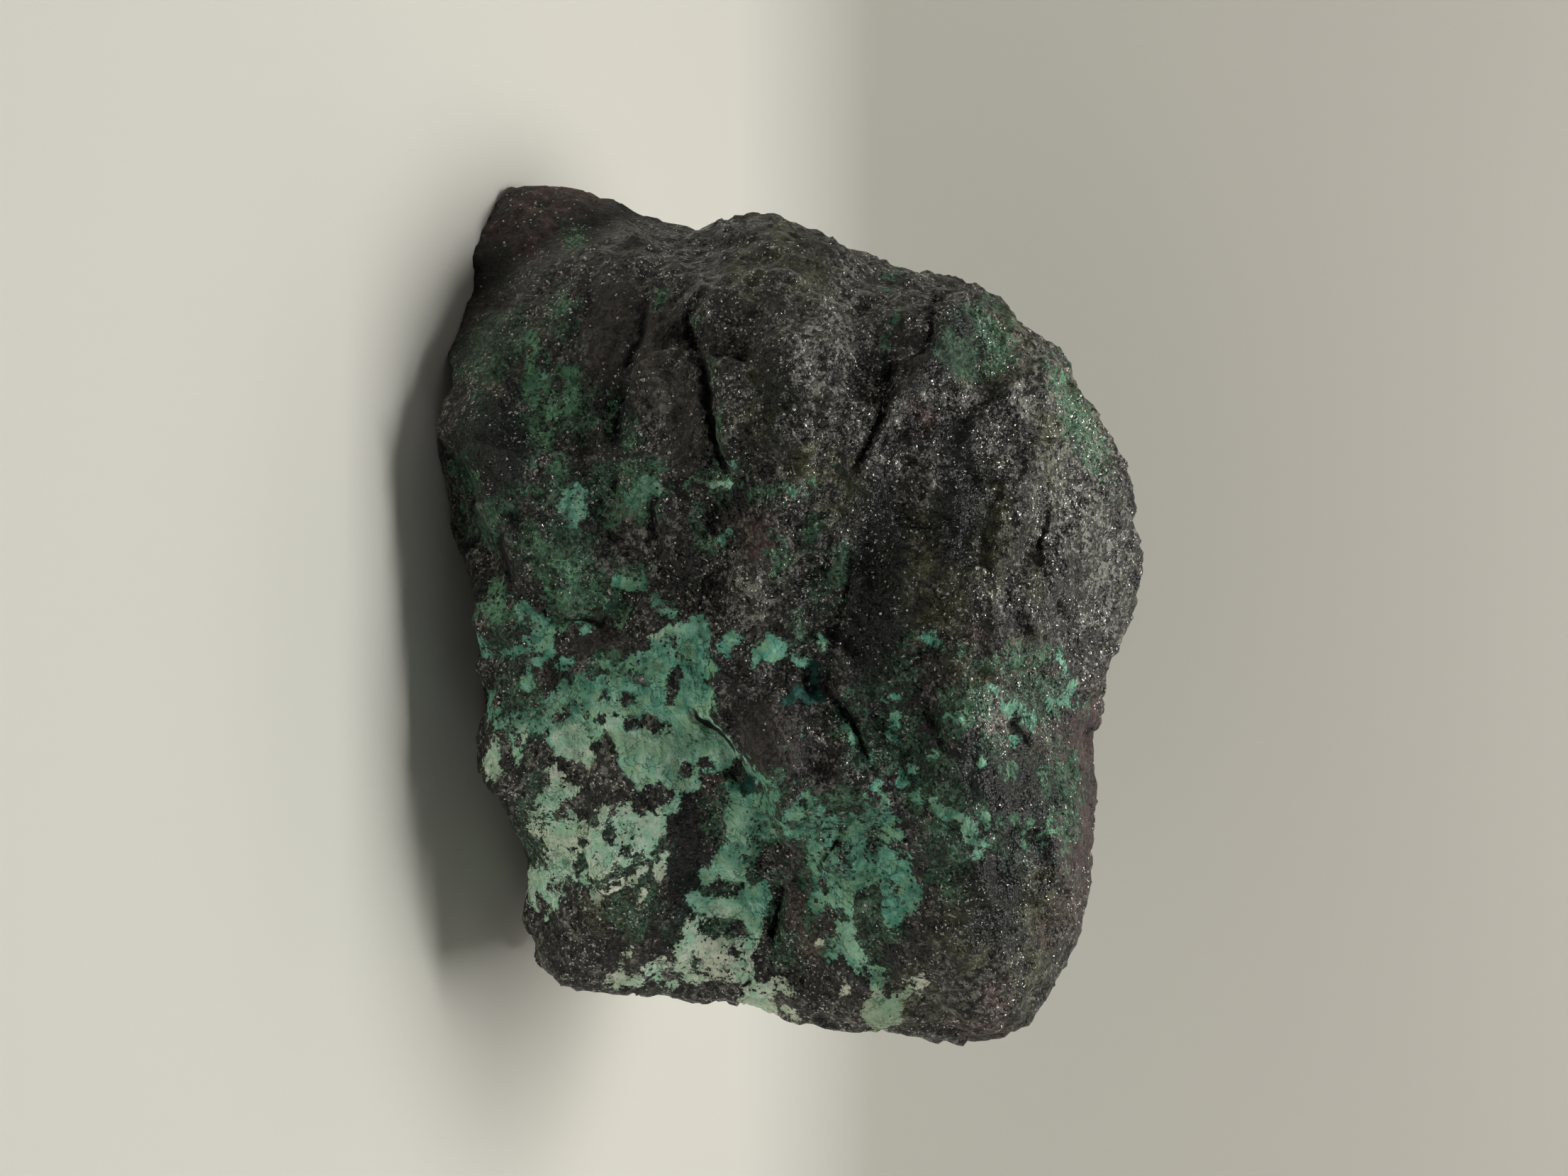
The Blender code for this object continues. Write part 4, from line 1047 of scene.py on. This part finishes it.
def grains_group():
    """Ore grains: each cell has its own shade and leans its own way, and a share of them are flakes."""
    tree, given, end = new_group(
        "Ore Grains",
        (
            ("Place", "Vector", None),
            ("Normal", "Vector", None),
            ("Size", "Float", 0.5),
            ("Flake Share", "Float", 0.06),
            ("Lean", "Float", 0.5),
        ),
        (("Shade", "Float"), ("Flake", "Float"), ("Normal", "Vector"), ("Height", "Float")),
    )
    moved = wobbled(tree, given["Place"], 2.2, 1.0, 0.5)
    cells = add(tree, "TexVoronoi", {"Vector": moved, "Scale": calc(tree, "DIVIDE", 1.0, given["Size"])})
    random = add(tree, "SeparateColor", {0: cells.outputs["Color"]})
    flake = calc(tree, "LESS_THAN", random.outputs["Green"], given["Flake Share"])
    lean = vector(tree, "SUBTRACT", {0: cells.outputs["Color"], 1: HALVES})
    scaled = vector(tree, "SCALE", {0: lean, "Scale": given["Lean"]})
    leaned = vector(tree, "ADD", {0: scaled, 1: given["Normal"]})
    tree.links.new(random.outputs["Red"], end.inputs["Shade"])
    tree.links.new(flake, end.inputs["Flake"])
    tree.links.new(vector(tree, "NORMALIZE", {0: leaned}), end.inputs["Normal"])
    tree.links.new(cells.outputs["Distance"], end.inputs["Height"])
    return tree


def plates_group():
    """Crust in small plates of their own tones: 0 to 1, and 1 on the seams between them."""
    tree, given, end = new_group(
        "Crust Plates",
        (("Place", "Vector", None), ("Size", "Float", 1.4)),
        (("Tone", "Float"), ("Seam", "Float")),
    )
    moved = wobbled(tree, given["Place"], 0.9, 4.0, 2.4)
    count = calc(tree, "DIVIDE", 1.0, given["Size"])
    plates = add(tree, "TexVoronoi", {"Vector": moved, "Scale": count})
    random = add(tree, "SeparateColor", {0: plates.outputs["Color"]})
    rims = add(tree, "TexVoronoi", {"Vector": moved, "Scale": count}, feature="DISTANCE_TO_EDGE")
    seam = ramp(tree, rims.outputs["Distance"], 0.07, 0.02)
    tree.links.new(random.outputs["Red"], end.inputs["Tone"])
    tree.links.new(seam, end.inputs["Seam"])
    return tree


def placed(tree, group, inputs):
    """The outputs of a group put into a material."""
    return add(tree, "Group", inputs, node_tree=group).outputs


def ore_grains(tree, place, normal, field):
    """The leaning grains, and the finer ones of which a share are bright flakes, scattered in drifts."""
    grains = grains_group()
    drifts = ramp(tree, noise(tree, place, 7.0, 3.0), 0.35, 0.65)
    share = product(tree, drifts, graded(tree, field["dull"], -0.06, 0.08))
    share = product(tree, share, graded(tree, field["light"], 1.2, 0.55))
    inputs = {"Place": place, "Normal": normal, "Size": 0.45, "Flake Share": 0.0, "Lean": 0.75}
    grain = placed(tree, grains, inputs)
    inputs = {"Place": place, "Normal": normal, "Size": 0.25, "Flake Share": share, "Lean": 1.5}
    return grain, placed(tree, grains, inputs)


def bare_ore(tree, place, field, grain, flakes):
    """The colour of the ore before its stains, the shade of its grains, and the black gaps between them."""
    mottle = calc(tree, "SUBTRACT", noise(tree, place, 3.5, 5.0), 0.5)
    shade = graded(tree, flakes["Shade"], 0.4, product(tree, grain["Shade"], 0.6))
    shade = graded(tree, mottle, 1.3, shade)
    # lighter or darker by the light field: partly the ore's own tone, partly painted sheen and painted shade
    shade = graded(tree, calc(tree, "SUBTRACT", field["light"], 0.5), 0.62, shade)
    dark = blend(tree, ramp(tree, shade, 0.25, 0.65), (0.006, 0.006, 0.005, 1), (0.045, 0.045, 0.038, 1))
    ore = blend(tree, ramp(tree, shade, 0.55, 0.95), dark, (0.26, 0.254, 0.218, 1))
    calm = graded(tree, mottle, -0.9, shade)
    dull_ore = blend(tree, ramp(tree, calm, 0.2, 0.9), (0.018, 0.015, 0.0135, 1), (0.085, 0.07, 0.06, 1))
    ore = blend(tree, field["dull"], ore, dull_ore)
    gaps = ramp(tree, noise(tree, place, 1.1, 4.0), 0.52, 0.45)
    gaps = product(tree, gaps, graded(tree, field["dull"], -0.6, 1.0))
    return blend(tree, product(tree, gaps, 0.8), ore, BLACK), shade, gaps


def stained_ore(tree, place, field, ragged, ore, shade):
    """The ore under its olive, brown and green stains, which lie in drifts between the grains, and with
    its darkest ground, which is partly painted shade."""
    drift = ramp(tree, noise(tree, place, 2.2, 5.0), 0.36, 0.62)
    olive = product(tree, field["olive"], drift, 0.8)
    ore = blend(tree, olive, ore, blend(tree, shade, (0.022, 0.026, 0.008, 1), (0.13, 0.14, 0.06, 1)))
    brown = product(tree, field["brown"], drift, 0.8)
    ore = blend(tree, brown, ore, blend(tree, shade, (0.03, 0.014, 0.013, 1), (0.15, 0.085, 0.075, 1)))
    haze = placed(tree, ragged, {"Place": place, "Field": field["stain"], "Fray": 3.4, "Freckles": 1.6})
    stain = blend(tree, ramp(tree, shade, 0.25, 0.95), (0.005, 0.022, 0.010, 1), (0.10, 0.25, 0.14, 1))
    ore = blend(tree, product(tree, haze["Mask"], 0.85), ore, stain)
    # the darkest ground, blended towards black: partly darker ore, partly painted shade in hollows
    dark_and_shade_share = product(tree, ramp(tree, field["light"], 0.5, 0.0), 0.8)
    return blend(tree, dark_and_shade_share, ore, (0.005, 0.008, 0.005, 1))


def crust_patches(tree, place, field, ragged):
    """Each crust's name, and where it lies: the outputs of its ragged patch."""
    holes = graded(tree, field["rich"], -0.8, graded(tree, field["thin"], 1.1, 0.6))
    kinds = (("teal", 1.8, holes), ("pale", 1.8, 0.9), ("green", 3.0, 1.6), ("deep", 2.0, 0.4))
    patch = {}
    for name, fray, freckles in kinds:
        inputs = {"Place": place, "Field": field[name], "Fray": fray, "Freckles": freckles}
        patch[name] = placed(tree, ragged, inputs)
    return patch


def crust_colours(tree, place, field, patch, plates, fine):
    """The mask and colour of each crust, from the lowest up; it is darker and greener where it is thin and
    where shade is painted on it, and lighter where it is richest and where light is painted on it.
    """
    tone = graded(tree, plates["Tone"], 0.22, noise(tree, place, 1.3, 6.0))
    tone = ramp(tree, graded(tree, fine, 0.5, tone), 0.66, 1.04)
    mossy = product(tree, ramp(tree, noise(tree, place, 2.6, 6.0), 0.48, 0.6), 0.55)
    thick = ramp(tree, patch["teal"]["Depth"], 0.48, 0.62)
    # thinner crust is darker: partly thin crust, partly painted shade
    thick = product(tree, thick, graded(tree, field["thin"], -0.8, 1.0))
    thin_teal = blend(tree, tone, (0.03, 0.13, 0.08, 1), (0.16, 0.40, 0.26, 1))
    thick_teal = blend(tree, tone, (0.11, 0.42, 0.30, 1), (0.31, 0.71, 0.53, 1))
    # the lightest crust colour, partly painted light where the lower front takes more light
    rich_teal = blend(tree, tone, (0.40, 0.85, 0.60, 1), (0.70, 0.97, 0.76, 1))
    thick_teal = blend(tree, field["rich"], thick_teal, rich_teal)
    thick_teal = blend(tree, mossy, thick_teal, (0.36, 0.62, 0.34, 1))
    cream = blend(tree, tone, (0.55, 0.70, 0.48, 1), (0.95, 0.98, 0.80, 1))
    cream = blend(tree, product(tree, field["rich"], 0.8), cream, rich_teal)
    cream = blend(tree, product(tree, field["thin"], 0.55), cream, (0.20, 0.36, 0.18, 1))
    threads = product(tree, plates["Seam"], ramp(tree, noise(tree, place, 3.0), 0.42, 0.52))
    moss = blend(tree, tone, (0.015, 0.065, 0.035, 1), (0.10, 0.25, 0.14, 1))
    moss = blend(tree, product(tree, field["rich"], 0.7), moss, (0.15, 0.40, 0.22, 1))
    moss = blend(tree, product(tree, threads, 0.8), moss, (0.34, 0.62, 0.38, 1))
    return (
        (product(tree, patch["green"]["Mask"], graded(tree, field["thin"], -0.6, 0.9)), moss),
        (patch["teal"]["Mask"], blend(tree, thick, thin_teal, thick_teal)),
        (patch["pale"]["Mask"], cream),
        # the pocket's crust: its dark colour is partly painted shade in the recess
        (patch["deep"]["Mask"], blend(tree, tone, (0.006, 0.05, 0.04, 1), (0.03, 0.15, 0.12, 1))),
    )


def scratched(tree, place, field, colour):
    """The colour with the pale scratches of the ridge, drawn out along it, and painted shade in the cracks.
    """
    inputs = {"Vector": place, "Rotation": (0, 0.3, 0), "Scale": (3.4, 1.4, 0.22)}
    drawn = add(tree, "Mapping", inputs).outputs[0]
    streaks = add(tree, "TexNoise", {"Vector": drawn, "Scale": 1.0, "Detail": 2.0}).outputs["Fac"]
    streaks = product(tree, ramp(tree, streaks, 0.55, 0.64), field["ridge"], 0.7)
    colour = blend(tree, streaks, colour, (0.13, 0.135, 0.10, 1))
    # the cracks painted black: painted shade where a crack is deep
    return blend(tree, ramp(tree, field["crack"], 0.45, 0.8), colour, BLACK)


def fine_height(tree, grain_height, crust, bare, lumps, fine, plate_tone, pits, gaps):
    """Grains and gaps of bare ore, lumps all over, and the thickness, plates and pits of crust, summed."""
    height = product(tree, grain_height, bare, -0.5)
    height = graded(tree, crust, 0.3, height)
    height = graded(tree, lumps, graded(tree, crust, 0.9, 1.2), height)
    height = graded(tree, product(tree, fine, crust), 0.5, height)
    height = graded(tree, product(tree, plate_tone, crust), 0.3, height)
    height = graded(tree, pits, -0.4, height)
    return graded(tree, product(tree, gaps, bare), -0.5, height)


def rock_material():
    """Dark ore of leaning grains and bright flakes, stained and in places crusted with chrysocolla."""
    material = bpy.data.materials.new("ore and chrysocolla")
    material.use_nodes = True
    tree = material.node_tree
    shader = tree.nodes["Principled BSDF"]
    place = vector(tree, "SCALE", {0: add(tree, "TexCoord").outputs["Object"], "Scale": 1 / MM})
    normal = add(tree, "NewGeometry").outputs["Normal"]
    field = {name: add(tree, "Attribute", attribute_name=name).outputs["Fac"] for name in FIELDS}
    ragged = ragged_patch_group()
    grain, flakes = ore_grains(tree, place, normal, field)
    ore, shade, gaps = bare_ore(tree, place, field, grain, flakes)
    colour = stained_ore(tree, place, field, ragged, ore, shade)

    # the crusts, with pores and dark seams in the thick ones
    plates = placed(tree, plates_group(), {"Place": place, "Size": 1.4})
    fine = noise(tree, place, 0.5, 4.0)
    patch = crust_patches(tree, place, field, ragged)
    for mask, crust_colour in crust_colours(tree, place, field, patch, plates, fine):
        colour = blend(tree, mask, colour, crust_colour)
    crust = calc(tree, "MAXIMUM", patch["teal"]["Mask"], patch["pale"]["Mask"])
    pores = ramp(tree, fine, 0.65, 0.69)
    seams = product(tree, plates["Seam"], ramp(tree, noise(tree, place, 3.0), 0.5, 0.42))
    pits = product(tree, calc(tree, "MAXIMUM", pores, seams), crust)
    colour = blend(tree, product(tree, pits, 0.5), colour, (0.012, 0.06, 0.035, 1))
    colour = scratched(tree, place, field, colour)

    # the flakes shine where no crust lies on them
    thinner = calc(tree, "MAXIMUM", patch["green"]["Mask"], patch["deep"]["Mask"])
    crust = calc(tree, "MAXIMUM", crust, thinner)
    bare = calc(tree, "SUBTRACT", 1.0, crust)
    flake = product(tree, flakes["Flake"], bare)
    colour = blend(tree, flake, colour, (0.5, 0.49, 0.46, 1))

    lumps = noise(tree, place, 0.8, 4.0)
    height = fine_height(tree, grain["Height"], crust, bare, lumps, fine, plates["Tone"], pits, gaps)
    leaning = lean_blend(tree, flake, grain["Normal"], flakes["Normal"])
    leaning = lean_blend(tree, crust, leaning, normal)
    bump = add(tree, "Bump", {"Strength": 0.9, "Distance": 0.4 * MM, "Height": height, "Normal": leaning})
    tree.links.new(bump.outputs[0], shader.inputs["Normal"])

    rough = blend(tree, crust, (0.36, 0.36, 0.36, 1), (0.65, 0.65, 0.65, 1))
    rough = blend(tree, field["dull"], rough, (0.7, 0.7, 0.7, 1))
    rough = blend(tree, flake, rough, (0.2, 0.2, 0.2, 1))
    tree.links.new(colour, shader.inputs["Base Color"])
    tree.links.new(rough, shader.inputs["Roughness"])
    tree.links.new(flake, shader.inputs["Metallic"])
    shader.inputs["Specular IOR Level"].default_value = 0.5
    return material


def sweep_material():
    """Matt paper on the side that faces the rock; from behind, it is clear and the rock's back shows."""
    material = bpy.data.materials.new("pale sweep")
    material.use_nodes = True
    tree = material.node_tree
    shader = tree.nodes["Principled BSDF"]
    up = add(tree, "SeparateXYZ", {0: add(tree, "TexCoord").outputs["Object"]}).outputs["Z"]
    paper = blend(tree, ramp(tree, up, 0.02, 0.14), (0.80, 0.79, 0.72, 1), (0.80, 0.765, 0.69, 1))
    tree.links.new(paper, shader.inputs["Base Color"])
    shader.inputs["Roughness"].default_value = 0.8
    shader.inputs["Specular IOR Level"].default_value = 0.2
    behind = add(tree, "NewGeometry").outputs["Backfacing"]
    clear = add(tree, "BsdfTransparent").outputs[0]
    sides = add(tree, "MixShader", {0: behind, 1: shader.outputs[0], 2: clear})
    tree.links.new(sides.outputs[0], tree.nodes["Material Output"].inputs["Surface"])
    return material


def build_rock():
    """The rock's surface with its painted fields and its material, in place of the CAD node."""
    points, cells, fields = rock_surface()
    rock = new_mesh("rock_surface", points, cells)
    for name, field in fields.items():
        paint(rock, name, field)
    rock.data.materials.append(rock_material())
    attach(rock, "root")
    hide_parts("rock")


def build_sweep():
    """The floor and the wall behind it: a straight run back, a turn and a run up that leans back, all of it
    drawn out sideways. One parameter is the way along that line and the other is the way across it."""
    along = np.linspace(-SWEEP_REACH, SWEEP_BEND, 40)
    turn = np.linspace(0, SWEEP_TURN, 25)[1:]
    rise = np.linspace(0, WALL_HEIGHT, 30)[1:]
    back = np.concatenate([along, SWEEP_BEND + SWEEP_RADIUS * np.sin(turn)])
    high = np.concatenate([np.zeros(len(along)), SWEEP_RADIUS - SWEEP_RADIUS * np.cos(turn)])
    back = np.concatenate([back, back[-1] + rise * math.cos(SWEEP_TURN)])
    high = np.concatenate([high, high[-1] + rise * math.sin(SWEEP_TURN)])
    side = np.linspace(-SWEEP_REACH, SWEEP_REACH, 41)
    rows = [np.tile(side, len(back)), np.repeat(back, len(side)), np.repeat(high, len(side))]
    points = np.stack(rows, axis=1)
    index = np.arange(len(points)).reshape(len(back), len(side))
    cells = np.stack([index[:-1, :-1], index[:-1, 1:], index[1:, 1:], index[1:, :-1]], axis=2).reshape(-1, 4)
    sweep = new_mesh("sweep", points, cells)
    sweep.data.materials.append(sweep_material())


def build_light(name, place, size, power):
    """A rectangular soft light that looks at the rock."""
    lamp = bpy.data.lights.new(name, "AREA")
    lamp.shape = "RECTANGLE"
    lamp.size, lamp.size_y = size
    lamp.energy = power
    lamp.color = LAMP_COLOUR
    light = bpy.data.objects.new(name, lamp)
    bpy.context.scene.collection.objects.link(light)
    light.location = place
    light.rotation_euler = (Vector((0, 0, HEART_HEIGHT)) - Vector(place)).to_track_quat("-Z", "Y").to_euler()


def build_world():
    """A dim room that is brighter overhead."""
    world = bpy.data.worlds.new("studio")
    world.use_nodes = True
    tree = world.node_tree
    parts = add(tree, "SeparateXYZ", {0: add(tree, "TexCoord").outputs["Generated"]})
    over = ramp(tree, parts.outputs["Z"], -0.1, 0.8)
    tree.links.new(product(tree, over, 0.07), tree.nodes["Background"].inputs["Strength"])
    tree.nodes["Background"].inputs["Color"].default_value = (1.0, 0.985, 0.95, 1)
    bpy.context.scene.world = world


def build_camera():
    """The eye, turned on its side: the frame's right is the eye's up."""
    across, up, towards = (Vector(axis) for axis in sight_frame().T)
    heart = Vector((HEART_ACROSS, HEART_BACK, HEART_HEIGHT))
    camera = bpy.data.cameras.new("camera")
    camera.sensor_width = SENSOR_WIDTH
    camera.lens = SENSOR_WIDTH * EYE_DISTANCE / FRAME_LENGTH
    camera.clip_start = 0.01
    eye = bpy.data.objects.new("camera", camera)
    bpy.context.scene.collection.objects.link(eye)
    turned = Matrix((up, -across, towards)).transposed().to_4x4()
    turned.translation = heart + towards * EYE_DISTANCE
    eye.matrix_world = turned
    bpy.context.scene.camera = eye


build_camera()
build_world()
for light in LIGHTS:
    build_light(*light)
build_sweep()
build_rock()
bpy.context.scene.view_settings.view_transform = "Standard"
